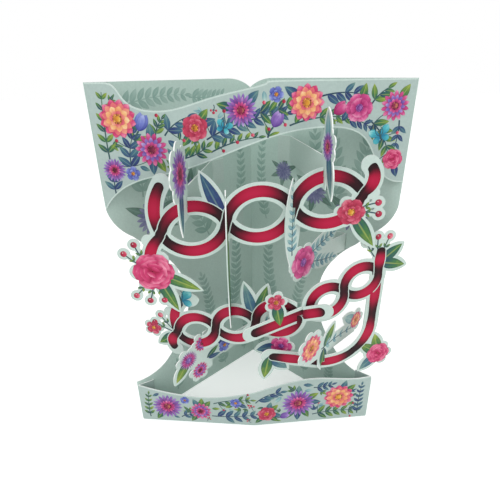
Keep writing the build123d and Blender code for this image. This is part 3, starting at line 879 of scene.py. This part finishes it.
def twist(art, start, link, links, slope, sag, lead=None, tail=None):
    """Two strands that bow apart and take turns to pass over each other.

    Lead and tail give, for each strand, the paths by which it comes to the first node and leaves the last."""
    nodes = [Vector(start) + step(link * k, slope) for k in range(links + 1)]
    for side in (1, -1):
        before = lead[side] if lead else []
        after = tail[side] if tail else []
        bows = [bow(nodes[k], nodes[k + 1], side * (-1) ** k * sag) for k in range(links)]
        count = len(before) + links + len(after)

        def over(share):
            return 0.5 + 0.5 * side * math.cos(math.pi * (share - len(before)))

        def full(share):
            return math.sin(math.pi * share) ** 2

        ribbon(
            art,
            chain(before + bows + after),
            count,
            lambda share: dark_lit + middle_lit * full(share) + over_lit * over(share),
            lambda share: strand_level + strand_rise * over(share),
            strand_cells * count,
            lambda share: crossing_share + swell_share * full(share),
        )


def curl(start, length, turn, sag):
    """The path of a loose end that leaves a node."""
    return bow(start, Vector(start) + step(length, turn), sag)


def inward(start, length, turn, sag):
    """The same path walked back to the node."""
    return bow(Vector(start) + step(length, turn), start, -sag)


print("ribbons", ribbon_width, "mm wide on card", ribbon_card, "mm wide")

# %% Leaves of the common size
leaf_length, leaf_width = 13.0, 5.5


def sprout(art, root, leaves, length=leaf_length, height=leaf_level):
    """Leaves of the common width from one root, each given by its turn and ink."""
    for turn, ink in leaves:
        leaf(art, root, turn, length, leaf_width, ink, height)


print("common leaf", leaf_length, "by", leaf_width, "mm")

# %% Upper ribbon panel
wing_depth, half_front = 60.0, 65.0
wing_turn = turn_of((half_front, wing_depth))
upper_forward, upper_height, left_fin_x = 12.0, 133.0, -27.0
left_fin_lean, right_fin_lean = 6.6, 9.0
upper_slope, upper_link, upper_sag, upper_links = 12.0, 28.4, 10.0, 3
upper_curl, upper_curl_turn, upper_curl_sag = 23.0, 84, 3.0
upper_tail, upper_tail_turn = 11.5, 80
rose_bloom, rose_drop, rose_turn = 9.5, 18.0, -107
red_bloom, red_drop, red_turn = 6.0, 9.0, -115
over_strand = 0.058

upper_y = -wing_depth - upper_forward
upper_along = step(upper_link, upper_slope)
upper_rise = step(upper_sag, upper_slope + 90)
left_crest = Vector((left_fin_x, upper_height))
upper_start = left_crest - upper_rise - upper_along / 2
centre_node = upper_start + upper_along
poppy_node = centre_node + upper_along
upper_end = upper_start + upper_along * upper_links
right_crest = upper_end + upper_rise - upper_along / 2
rose_place = upper_start + step(rose_drop, rose_turn)
red_place = upper_end + step(red_drop, red_turn)

art = new_print()
lead = {
    1: [inward(upper_start, rose_drop, rose_turn, -upper_curl_sag)],
    -1: [inward(upper_start, upper_curl, upper_curl_turn, upper_curl_sag)],
}
tail = {1: [], -1: [curl(upper_end, upper_tail, upper_tail_turn, -upper_curl_sag)]}
twist(art, upper_start, upper_link, upper_links, upper_slope, upper_sag, lead, tail)
berries(art, rose_place, 118, rose_bloom + berry_reach, (0, 1))
berries(art, rose_place, 258, rose_bloom + berry_reach)
sprout(art, rose_place, [(-65, leaf_green)], rose_bloom + leaf_length, over_strand)
sprout(art, rose_place, [(-25, leaf_green)], rose_bloom + leaf_length)
flower(art, rose_place, rose_bloom, "rose", 0, over_ribbons)
sprout(art, centre_node, [(115, leaf_navy)], upper_sag + leaf_length)
sprout(art, red_place, [(-55, leaf_green)], red_bloom + leaf_length)
berries(art, red_place, 20, red_bloom + berry_reach, (-1, 0))
flower(art, red_place, red_bloom, "red", 0, on_top_of_all)
cut_slot(art, *left_crest, 90 - left_fin_lean, True)
cut_slot(art, *centre_node, 90, False)
cut_slot(art, *right_crest, 90 - right_fin_lean, True)
cut_slot(art, *poppy_node, wing_turn, False)
lay(art, "upper_ribbon_print", upright(0, upper_y, 0), both_faces)

# %% Lower left ribbon panel
apex_x, apex_forward, lower_turn, lower_height = 21.0, 16.0, 12.0, 80.0
lower_slope, lower_link, lower_sag, lower_links = 17.0, 21.0, 7.8, 3
lower_curl, lower_curl_turn, lower_curl_sag = 20.0, 80, 2.6
lower_tail, lower_tail_turn = 10.0, -100
left_streamer, hanging_drop = 12.0, 8.0
bud_bloom, bud_petals, hanging_bloom, butterfly_wing = 4.2, 5, 5.4, 8.0

apex_y = -wing_depth - apex_forward
lower_along = step(lower_link, lower_slope)
lower_rise = step(lower_sag, lower_slope + 90)
lower_cos, lower_sin = step(1, lower_turn)
centre_s = (centre_node.x - apex_x) / lower_cos
left_start = Vector((centre_s, lower_height)) - lower_rise - lower_along * lower_links / 2
left_end = left_start + lower_along * lower_links
last_node = left_end - lower_along
hanging = left_end - lower_along / 2 - lower_rise - Vector((0, hanging_drop))
thistle_spot = left_start + lower_along / 2 - lower_rise
meeting = Vector((0, left_end.y - left_end.x * math.tan(math.radians(lower_slope))))

art = new_print()
ribbon(art, curl(left_end, left_streamer, lower_slope, 0), 1, stroke, streamer_level, 30)
lead = {
    1: [inward(left_start, lower_tail, lower_tail_turn, -lower_curl_sag)],
    -1: [inward(left_start, lower_curl, lower_curl_turn, lower_curl_sag)],
}
twist(art, left_start, lower_link, lower_links, lower_slope, lower_sag, lead)
sprout(art, left_start, [(215, leaf_green)])
berries(art, left_start, 130, leaf_length, (0, 1))
flower(art, left_start + step(leaf_length, 172), bud_bloom, "red", 0, over_ribbons, bud_petals)
butterfly(art, left_start + step(lower_curl, lower_curl_turn), 102.5, butterfly_wing, teal_ink)
sprout(art, last_node, [(105, leaf_navy), (75, leaf_green)], lower_sag + leaf_length)
sprout(art, hanging, [(200, leaf_navy), (-110, leaf_green)])
flower(art, hanging, hanging_bloom, "poppy", 0, over_flowers, bud_petals)
cut_slot(art, *thistle_spot, wing_turn + lower_turn, False)
cut_slot(art, centre_s, lower_height, 90 - lower_turn, True)
cut_slot(art, *meeting, lower_turn * 2, True)
lay(art, "lower_left_ribbon_print", upright(apex_x, apex_y, -lower_turn), both_faces)

# %% The tail of the lower right panel
right_slope, right_link, right_sag, right_links, right_lead = 28.0, 18.0, 7.0, 2, 5.0
tail_height, tail_top, tail_radius = 52.0, 112.0, 20.0
tail_run, tail_end, tail_lift, tail_strokes = 24.0, 27.0, 9.0, 4

right_start = meeting + step(right_lead, lower_slope)
right_end = right_start + step(right_link * right_links, right_slope)
tail_x = right_end.x
bend_x = tail_x - tail_run
tail_tip = Vector((bend_x - tail_end, tail_height + tail_lift))
tail_turn = turn_of((tail_end, -tail_lift))
lift_in = tail_radius * math.tan(math.radians(-tail_turn / 2))
turn_start, turn_end = (tail_x, tail_height + tail_radius), (tail_x - tail_radius, tail_height)
bend_start = (bend_x + lift_in, tail_height)
bend_end = Vector((bend_x, tail_height)) + step(lift_in, 180 + tail_turn)
tail_links = [
    bow(right_end, turn_start, 0),
    bow(turn_start, turn_end, tail_radius * (1 - math.sqrt(0.5))),
    bow(turn_end, bend_start, 0),
    bow(bend_start, bend_end, tail_radius * (1 - math.cos(math.radians(tail_turn / 2)))),
    bow(bend_end, tail_tip, 0),
]
tail_path = evenly(chain(tail_links), len(tail_links))
tail_parts = [
    lambda share, part=part: tail_path((part + share) / tail_strokes) for part in range(tail_strokes)
]
print("the tail comes down at", round(tail_x, 1), "mm and ends at", round(tail_tip.x, 1), "mm")

# %% Lower right ribbon panel
streamer_length, bud_rise, small_rose_bloom, small_rose_petals = 24.0, 12.0, 6.4, 6
dahlia_place = 13.0
streamer_tip = meeting - step(streamer_length, lower_slope)
bud = (streamer_tip + meeting) / 2 + Vector((0, bud_rise))
tail_crown = Vector((tail_x, tail_top - ribbon_card))
small_rose = Vector((tail_x + small_rose_bloom, tail_height))

art = new_print()
ribbon(art, bow(streamer_tip, right_start, 0), 1, stroke, streamer_level, 24)
sprout(art, bud, [(-80, leaf_green)], height=over_leaves)
flower(art, bud, bud_bloom, "red", 0, over_flowers, bud_petals)
tail = {1: [bow(right_end, (tail_x, tail_top), 0)], -1: tail_parts}
twist(art, right_start, right_link, right_links, right_slope, right_sag, None, tail)
sprout(art, tail_tip, [(-100, leaf_green), (-45, leaf_navy)])
sprout(art, tail_crown, [(40, leaf_green), (-10, leaf_green)])
berries(art, tail_crown, 100, leaf_length)
sprout(art, small_rose, [(145, leaf_green), (105, leaf_green), (225, leaf_navy)])
flower(art, small_rose, small_rose_bloom, "rose", 0, over_ribbons, small_rose_petals)
cut_slot(art, *meeting, lower_turn * 2, False)
cut_slot(art, dahlia_place, tail_height, wing_turn - lower_turn, True)
lay(art, "lower_right_ribbon_print", upright(apex_x, apex_y, lower_turn), both_faces)

# %% [markdown]
# ## Fins and strips
#
# The fins stand nearly edge-on to the viewer and the strips run parallel to the left wing, so both faces of
# each are seen as one walks round the card. Their flowers could be printed on the front alone, as cheaper
# cards are; printed on both faces they hold up from every side.

# %% Fins
scallop = 0.88
centre_leaf_width, centre_leaf_over = 12.0, 12.0
# The outer fins: crest, lean, turn, aster's radius, how far it stands forward and up, long leaf, short leaves
outer_fins = {
    "left": (left_crest, left_fin_lean, 90 - left_fin_lean, 11.0, 6.5, 15.0, -95, []),
    "right": (right_crest, right_fin_lean, 90 + right_fin_lean, 6.4, 2.5, 12.0, -110, [(80, fern_teal)]),
}

for name, (crest, lean, turn, bloom, forward, lift, long_leaf, short_leaves) in outer_fins.items():
    head = Vector((-forward, crest.y + lift))
    art = new_print()
    sprout(art, head, [(long_leaf, leaf_navy)], bloom + leaf_length)
    sprout(art, head, short_leaves)
    flower(art, head, bloom * scallop, "aster")
    cut_slot(art, 0, crest.y, 90 - lean, False)
    lay(art, name + "_fin_print", upright(crest.x, upper_y, turn), both_faces)

centre_low = apex_y - lower_sin * centre_s - upper_y
centre_foot = lower_height - ribbon_card
centre_tall = centre_node.y + centre_leaf_over - centre_foot
art = new_print()
leaf(art, (centre_low / 2, centre_foot), 90, centre_tall, centre_leaf_width)
cut_slot(art, centre_low, lower_height, 90 - lower_turn, False)
cut_slot(art, 0, centre_node.y, 90, True)
lay(art, "centre_fin_print", upright(centre_node.x, upper_y, 90), both_faces)

# %% Thistle strip
fern_leaf, wide_fern_leaf = 4.6, 6.2
thistle_fern, thistle_fern_back = 34.0, 18.0
thistle_bloom, thistle_forward, thistle_drop, thistle_leaf = 6.0, 9.0, 6.0, 12.6
daisy_bloom, daisy_forward, daisy_drop = 5.4, 2.7, 16.0
blue_bloom, blue_back, blue_drop = 4.2, 14.0, 9.0

thistle_x = apex_x + lower_cos * thistle_spot.x
thistle_y = apex_y - lower_sin * thistle_spot.x
top = thistle_spot.y
thistle_head = Vector((-thistle_forward, top - thistle_drop))
blue_head = Vector((blue_back, top - blue_drop))
art = new_print()
sprout(art, thistle_head, [(-130, leaf_green)], thistle_leaf)
sprout(art, blue_head, [(110, leaf_navy)])
flower(art, thistle_head, thistle_bloom * scallop, "thistle")
flower(art, (-daisy_forward, top - daisy_drop), daisy_bloom * scallop, "daisy")
flower(art, (0, top), daisy_bloom * scallop, "daisy", 12, over_flowers)
flower(art, blue_head, blue_bloom, "blue")
# Small leaves between the flowers: run, drop, turn, length, width, ink
for run, drop, turn, length, width, ink in (
    (2.0, 11.0, 30, 9.0, 3.4, leaf_green),
    (3.0, 11.6, -4, 8.0, 2.6, leaf_navy),
):
    leaf(art, (run, top - drop), turn, length, width, ink)
sprig(art, (thistle_fern_back, top - blue_drop), 0, thistle_fern, 1.0, 8, fern_leaf, fern_teal)
cut_slot(art, 0, top, wing_turn + lower_turn, True)
lay(art, "thistle_print", upright(thistle_x, thistle_y, wing_turn), both_faces)

# %% Dahlia strip
strip_arm, dahlia_fern, fern_tuck = 9.0, 24.0, 2.0
dahlia_bloom, dahlia_forward, dahlia_lift = 8.2, 10.0, 14.0
pale_bloom, pale_back, pale_lift = 5.6, 27.0, 12.0

dahlia_x = apex_x + lower_cos * dahlia_place
dahlia_y = apex_y + lower_sin * dahlia_place
dahlia_foot = Vector((0, tail_height + strip_arm))
pale_head = Vector((pale_back, tail_height + pale_lift))
art = new_print()
sprout(art, dahlia_foot, [(-90, leaf_green), (55, leaf_green)])
sprout(art, pale_head, [(150, fern_teal)])
sprig(art, dahlia_foot - Vector((fern_tuck, 0)), 0, dahlia_fern, 0.8, 4, fern_leaf, fern_teal)
flower(art, (-dahlia_forward, tail_height + dahlia_lift), dahlia_bloom * scallop, "dahlia")
flower(art, pale_head, pale_bloom * scallop, "dahlia")
cut_slot(art, 0, tail_height, wing_turn - lower_turn, False)
lay(art, "dahlia_print", upright(dahlia_x, dahlia_y, wing_turn), both_faces)

# %% Poppy and fern strip
poppy_bloom, poppy_back, poppy_drop = 8.2, 8.0, 28.0
poppy_fern, upright_fern, upright_fern_lift = 23.0, 31.0, 6.0

poppy_head = Vector((poppy_back, poppy_node.y - poppy_drop))
art = new_print()
for turn, sag in ((22, 0.5), (-12, -0.5)):
    sprig(art, poppy_head, turn, poppy_fern, sag, 6, wide_fern_leaf, fern_teal)
sprig(art, (0, poppy_head.y + upright_fern_lift), 90, upright_fern, 0.4, 9, fern_leaf, fern_teal)
flower(art, poppy_head, poppy_bloom, "poppy", 0, over_leaves)
cut_slot(art, 0, poppy_node.y, wing_turn, True)
lay(art, "poppy_print", upright(poppy_node.x, upper_y, wing_turn), both_faces)

# %% [markdown]
# ## The bands
#
# Both bands are packed with flowers and leaves down to the last corner, which is what makes the card look
# rich from across a room. Scattering everything by chance would look like wallpaper, and placing every leaf
# by hand would take a day. So the flowers and the long sprigs are listed one by one; then small leaves and
# berries fill each gap that is left, tried on an even spread of places and kept wherever they fit inside
# the band.

# %% Band faces
crease_y, corner_x, corner_y = 66.0, 64.41, 60.27
near_face = 0.04
band_turn = turn_of((corner_x, crease_y - corner_y))
left_face, right_face = upright(0, -crease_y, -band_turn), upright(0, -crease_y, band_turn)


def band_face(u, z, lift, side):
    """The band's front: two planes that meet in the middle crease."""
    return (right_face if u > 0 else left_face)(u, z, lift, side)


def band_edge(name, parting, upper):
    """The upper or lower edge of a band's front, read from its sheet: (u, z) points from left to right."""
    found = {}
    for vert in sheets[name].data.vertices:
        spot = sheets[name].matrix_world @ vert.co / mm
        run = step(1, band_turn if spot.x > 0 else -band_turn)
        out = spot.x * run.y - (spot.y + crease_y) * run.x
        if abs(out - sheet / 2) < near_face and (spot.z > parting) == upper:
            found[round(spot.x * run.x + (spot.y + crease_y) * run.y, 2)] = spot.z
    return sorted(found.items())


def edge_height(points):
    """Height of a band's edge at u, read between its known points."""

    def height(u):
        for (u0, z0), (u1, z1) in zip(points, points[1:]):
            if u0 <= u <= u1:
                return z0 + (z1 - z0) * (u - u0) / (u1 - u0)
        return points[0][1] if u < points[0][0] else points[-1][1]

    return height


print("the bands turn back by", round(band_turn, 2), "degrees from their crease")

# %% Filling a band
edge_gap, band_reach = 0.8, 63.6
# The pale line along a band's edge is partly the board's white core and partly a painted highlight
bright_width, bright_level, bright_inset = 0.55, 0.035, 0.35
filler_rooms, filler_tries, filler_reach = (3.6, 2.9, 2.3, 1.8), 2500, 63.0
filler_margin, crowding_share, filler_room_share = 0.4, 0.85, 0.75
# Berries of a filler: bend, radius as a share of the room. Leaves of a trio: bend, length as a share of it
filler_berries = ((0, 0.32), (75, 0.24), (-75, 0.24))
trio_leaves = ((0, 1.95), (42, 1.4), (-42, 1.4))
filler_berry_level, filler_berry_reach_share = 0.06, 0.6
lone_leaf_share, lone_width_share, trio_width_share = 2, 0.85, 0.6
collar_level, collar_peek, collar_places = 0.06, 3.6, 12
collar_inset, collar_bend, collar_clear, collar_root_share = 1.2, 12, 1.0, 0.45
collar_width, collar_width_share, collar_tip_room, collar_tip_in = 2.2, 0.2, 1.8, 1.6
# Steps that spread points evenly over a field, and turns that never line up; a twist is in degrees per mm
spread_u, spread_z, golden_turn, collar_twist = 0.7548777, 0.5698403, 137.5, 11


def pale_cut_and_highlight(art, points, inset):
    """A pale line just inside a band's edge: partly the white core of the cut board, partly a painted
    highlight.
    """
    trail = [Vector((u, z + inset)) for u, z in points]
    links = [bow(start, end, 0) for start, end in zip(trail, trail[1:])]
    line(art, border_ink, chain(links), len(links), bright_width, bright_level, (len(links) * 2, 1))


def fill(art, taken, fits, low, high, room):
    """Leaf trios, single leaves and berries in every gap of at least that room."""
    kept = 0
    for place in range(1, filler_tries):
        u = (place * spread_u % 1.0 * 2 - 1) * filler_reach
        z = low(u) + (place * spread_z % 1.0) * (high(u) - low(u))
        spot = Vector((u, z))
        if not all(fits(spot + step(room + filler_margin, side * 45)) for side in range(8)):
            continue
        if any((spot - Vector(other)).length < crowding_share * (room + gap) for other, gap in taken):
            continue
        turn = place * golden_turn % 360
        kept += 1
        taken.append((spot, room * filler_room_share))
        foot = spot - step(room, turn)
        if kept % 5 == 0:
            line(art, stem_ink, bow(foot, spot, thin_stem_sag), 1, thin_stem, stem_level, (4, 1))
            for bend, size in filler_berries:
                berry = spot + step(room * filler_berry_reach_share, turn + bend)
                line(art, stem_ink, bow(spot, berry, 0), 1, thin_stem, stem_level, (2, 1))
                disc(art, berry_ink, berry, room * size, filler_berry_level)
            continue
        ink = (leaf_green, leaf_navy, leaf_green, fern_teal)[kept % 4]
        if kept % 5 in (1, 3):
            leaf(art, foot, turn, room * lone_leaf_share, room * lone_width_share, ink)
            continue
        for bend, share in trio_leaves:
            leaf(art, foot, turn + bend, room * share, room * trio_width_share, ink)
    return kept


def collar(art, taken, fits, middle, radius):
    """Leaves that look out from under a flower, wherever there is room for them."""
    reach = radius + collar_peek
    for place in range(collar_places):
        turn = middle.x * collar_twist + place * 360 / collar_places
        tip = middle + step(reach, turn)
        sides = [middle + step(reach - collar_inset, turn + bend) for bend in (-collar_bend, collar_bend)]
        if not all(fits(spot) for spot in (tip, *sides)):
            continue
        others = [(Vector(other), gap) for other, gap in taken if Vector(other) != middle]
        if any((tip - other).length < gap + collar_clear for other, gap in others):
            continue
        ink = leaf_navy if place % 3 == 0 else leaf_green
        root = radius * collar_root_share
        width = collar_width + radius * collar_width_share
        leaf(art, middle + step(root, turn), turn, reach - root, width, ink, collar_level)
        taken.append((middle + step(reach - collar_tip_in, turn), collar_tip_room))


print("fillers are tried at", filler_tries - 1, "places for each of", len(filler_rooms), "sizes")

# %% Printing a band
flower_twist = 7
cup_middle_share, cup_room_share, cup_stem_room_share = 0.4, 0.7, 0.45


def print_band(name, low, high, edges, flowers, sprigs, cups, butterflies):
    """Prints a band: what is listed for it, then the fillers, then the pale line along its edges."""
    art, taken = new_print(), []

    def fits(spot):
        return low(spot.x) + edge_gap < spot.y < high(spot.x) - edge_gap and abs(spot.x) < band_reach

    for spot, radius, kind in flowers:
        flower(art, spot, radius, kind, spot[0] * flower_twist, over_leaves)
        taken.append((spot, radius))
    for row in sprigs:
        taken += sprig(art, *row, fits)
    for spot, radius, kind in flowers:
        collar(art, taken, fits, Vector(spot), radius)
    for foot, turn, size, ink in cups:
        tulip(art, foot, turn, size, ink)
        middle = step(size * cup_middle_share, turn)
        taken.append((Vector(foot) + middle, size * cup_room_share))
        taken.append((Vector(foot) - middle, size * cup_stem_room_share))
    for spot, turn, size, room in butterflies:
        butterfly(art, spot, turn, size, teal_ink)
        taken.append((spot, room))
    print("fillers:", [fill(art, taken, fits, low, high, room) for room in filler_rooms])
    for points, inset in edges:
        pale_cut_and_highlight(art, points, inset)
    split(art, (0, 0), (1, 0))
    lay(art, name + "_print", band_face)


print("a band is parted at its crease")

# %% Top band
top_parting = 165.5
top_upper, top_lower = [band_edge("top_band", top_parting, upper) for upper in (True, False)]
top_edges = ((top_upper, -bright_inset), (top_lower, bright_inset))
# Place, radius, kind
top_flowers = (
    ((-53.5, 166.5), 7.6, "dahlia"),
    ((-58.0, 146.0), 5.0, "aster"),
    ((-41.0, 154.5), 6.8, "daisy"),
    ((-22.5, 163.0), 5.4, "red"),
    ((-4.0, 169.5), 6.2, "aster"),
    ((21.5, 171.8), 7.0, "dahlia"),
    ((42.5, 169.5), 5.6, "poppy"),
    ((57.0, 170.0), 5.8, "daisy"),
    ((59.0, 149.0), 4.4, "rose"),
    ((-50.2, 144.6), 3.2, "blue"),
    ((9.5, 175.0), 3.0, "blue"),
)
# Root, turn, length, sag, pairs, leaf length, ink, berry ink
top_sprigs = (
    ((-59.0, 135.4), 84, 10.5, 0.6, 3, 6.0, leaf_navy, None),
    ((-59.4, 150.5), 88, 26.0, 0.5, 6, 5.4, leaf_green, None),
    ((-50.0, 145.0), 82, 16.0, 1.5, 4, 7.2, leaf_navy, berry_ink),
    ((-30.5, 150.6), 22, 13.0, -1.0, 4, 6.4, leaf_green, None),
    ((-39.0, 159.5), 64, 7.5, 0.5, 3, 4.6, leaf_green, None),
    ((-35.0, 160.0), 36, 12.0, 1.0, 3, 7.0, leaf_navy, berry_ink),
    ((-18.0, 158.5), 17, 33.0, 2.0, 9, 6.6, leaf_navy, berry_ink),
    ((-16.5, 153.5), 17, 20.0, 1.0, 6, 5.0, leaf_green, None),
    ((1.0, 168.5), 12, 15.0, -1.0, 4, 6.4, leaf_green, None),
    ((15.0, 163.5), 6, 24.0, 1.5, 7, 6.0, leaf_green, None),
    ((27.0, 174.0), 3, 15.0, 0.8, 4, 6.8, leaf_navy, None),
    ((34.0, 164.5), -8, 13.0, 1.5, 4, 5.6, leaf_navy, berry_ink),
    ((47.0, 165.0), -58, 19.0, 2.0, 5, 6.8, leaf_green, berry_ink),
    ((47.5, 171.0), 44, 8.0, 0.5, 3, 6.4, leaf_green, None),
    ((59.6, 164.5), -93, 11.0, 0.5, 3, 4.8, leaf_navy, None),
)
# Foot, turn, size, ink
top_cups = (
    ((-45.6, 161.8), 66, 7.4, blue_ink),
    ((8.5, 163.0), 62, 6.4, violet_ink),
    ((32.5, 167.5), 38, 6.2, magenta_ink),
)
# Place, turn, size, room
top_butterflies = (((-11.0, 163.0), 70, 4.0, 3.8), ((52.5, 158.5), 110, 5.4, 5.0))
top_low, top_high = edge_height(top_lower), edge_height(top_upper)
print_band("top_band", top_low, top_high, top_edges, top_flowers, top_sprigs, top_cups, top_butterflies)

# %% Bottom band
bottom_parting = 10.0
bottom_upper = band_edge("bottom_band", bottom_parting, True)
bottom_edges = ((bottom_upper, -bright_inset),)
# Place, radius, kind
bottom_flowers = (
    ((-49.5, 11.2), 8.6, "aster"),
    ((-30.5, 8.8), 6.2, "daisy"),
    ((-39.2, 16.4), 2.8, "blue"),
    ((-10.5, 16.4), 3.4, "blue"),
    ((6.8, 8.2), 5.4, "red"),
    ((24.5, 14.5), 9.4, "aster"),
    ((47.5, 16.8), 8.6, "dahlia"),
)
# Root, turn, length, sag, pairs, leaf length, ink, berry ink
bottom_sprigs = (
    ((-60.2, 2.4), 88, 17.0, 0.5, 5, 4.4, leaf_green, None),
    ((-42.0, 3.6), 18, 7.0, 0.6, 2, 5.2, leaf_navy, None),
    ((-24.3, 5.6), 6, 25.0, -1.0, 5, 7.8, leaf_navy, None),
    ((-23.0, 15.0), 11, 21.0, 1.0, 5, 5.8, leaf_green, berry_ink),
    ((0.5, 17.0), 26, 15.0, 1.5, 4, 7.6, leaf_navy, None),
    ((33.0, 5.0), 2, 24.0, 1.0, 5, 7.4, leaf_green, berry_ink),
    ((32.8, 25.2), 6, 10.0, -0.6, 3, 5.6, leaf_navy, None),
    ((59.4, 3.0), 88, 21.0, 0.5, 6, 4.8, leaf_navy, None),
)
# Foot, turn, size, ink
bottom_cups = (((14.2, 4.6), 24, 6.0, violet_ink),)
bottom_low, bottom_high = edge_height([(-half_front, 0), (half_front, 0)]), edge_height(bottom_upper)
print_band(
    "bottom_band", bottom_low, bottom_high, bottom_edges, bottom_flowers, bottom_sprigs, bottom_cups, ()
)

# %% [markdown]
# ## Inside the wings
#
# Behind the pop-up pieces the wings carry a quiet print: tall sprigs only a shade darker than the card, and a
# few faded asters. It gives the space depth without competing with the front. It could be a pattern in the
# cover's own material, but as drawn sprigs it uses the same tools as the rest and keeps clear of the waist.

# %% Where a wing can be printed
foot_top, waist_top, shoulder_top = 27, 110, 134
waist_height, waist_run, waist_swell, waist_span = 69, 46, 18, 40
shoulder_run, shoulder_slope, full_run = 70, 0.6, 85
spine_gap, notch_run, notch_foot, wing_top = 1.5, 16, 173, 179


def on_wing(spot):
    """Whether a point lies on the wing, which is waisted at its outer edge and notched at the spine."""
    run, z = abs(spot.x), spot.y
    reach = full_run
    if foot_top < z < waist_top:
        reach = waist_run + waist_swell * ((z - waist_height) / waist_span) ** 2
    elif waist_top <= z < shoulder_top:
        reach = shoulder_run + (z - waist_top) * shoulder_slope
    return spine_gap < run < reach and edge_gap < z < (wing_top if run > notch_run else notch_foot)


print("a wing is printed up to", wing_top, "mm, and to", waist_run, "mm from the spine at its waist")

# %% Wing prints
ghost_leaf_level, ghost_leaf_reach = 0.05, 1.75
# Each sprig: run from the spine, foot, turn, length, sag, pairs, leaf
for side, name in ((-1, "left_wing_print"), (1, "right_wing_print")):
    art = new_print()
    for run, foot, turn, length, sag, pairs, size in (
        (20.0, 44.0, 96, 52.0, 3.0, 12, 8.0),
        (33.0, 100.0, 80, 56.0, -4.0, 12, 9.0),
        (12.0, 104.0, 92, 52.0, 3.0, 14, 6.0),
        (56.0, 116.0, 98, 44.0, -3.0, 10, 9.5),
        (70.0, 130.0, 82, 36.0, 2.0, 9, 8.5),
        (36.0, 36.0, 84, 40.0, 2.0, 11, 6.5),
        (64.0, 6.0, 95, 20.0, 1.0, 7, 5.5),
        (44.0, 6.0, 86, 22.0, 1.0, 7, 6.0),
        (26.0, 4.0, 88, 32.0, -2.0, 10, 6.5),
        (9.0, 6.0, 90, 40.0, 1.5, 14, 4.6),
        (80.0, 146.0, 92, 24.0, 1.0, 9, 4.6),
        (76.0, 170.0, 174, 34.0, -1.5, 9, 7.0),
        (40.0, 172.5, 178, 24.0, 1.0, 8, 6.0),
    ):
        heading = turn if side > 0 else 180 - turn
        sprig(art, (side * run, foot), heading, length, sag * side, pairs, size, ghost_ink, fits=on_wing)
    asters = [(66.0, 119.0, 9.0), (44.0, 127.0, 7.5)]
    if side > 0:
        asters.append((24.0, 134.0, 5.5))
    for run, height, radius in asters:
        middle = Vector((side * run, height))
        for turn in (25, 80, 150, 205, 262, 330):
            length = radius * ghost_leaf_reach
            if on_wing(middle + step(length, turn)):
                leaf(art, middle, turn, length, radius * 0.5, ghost_leaf, ghost_leaf_level)
        flower(art, middle, radius, "ghost")
    lay(art, name, upright(0, 0, -side * wing_turn))
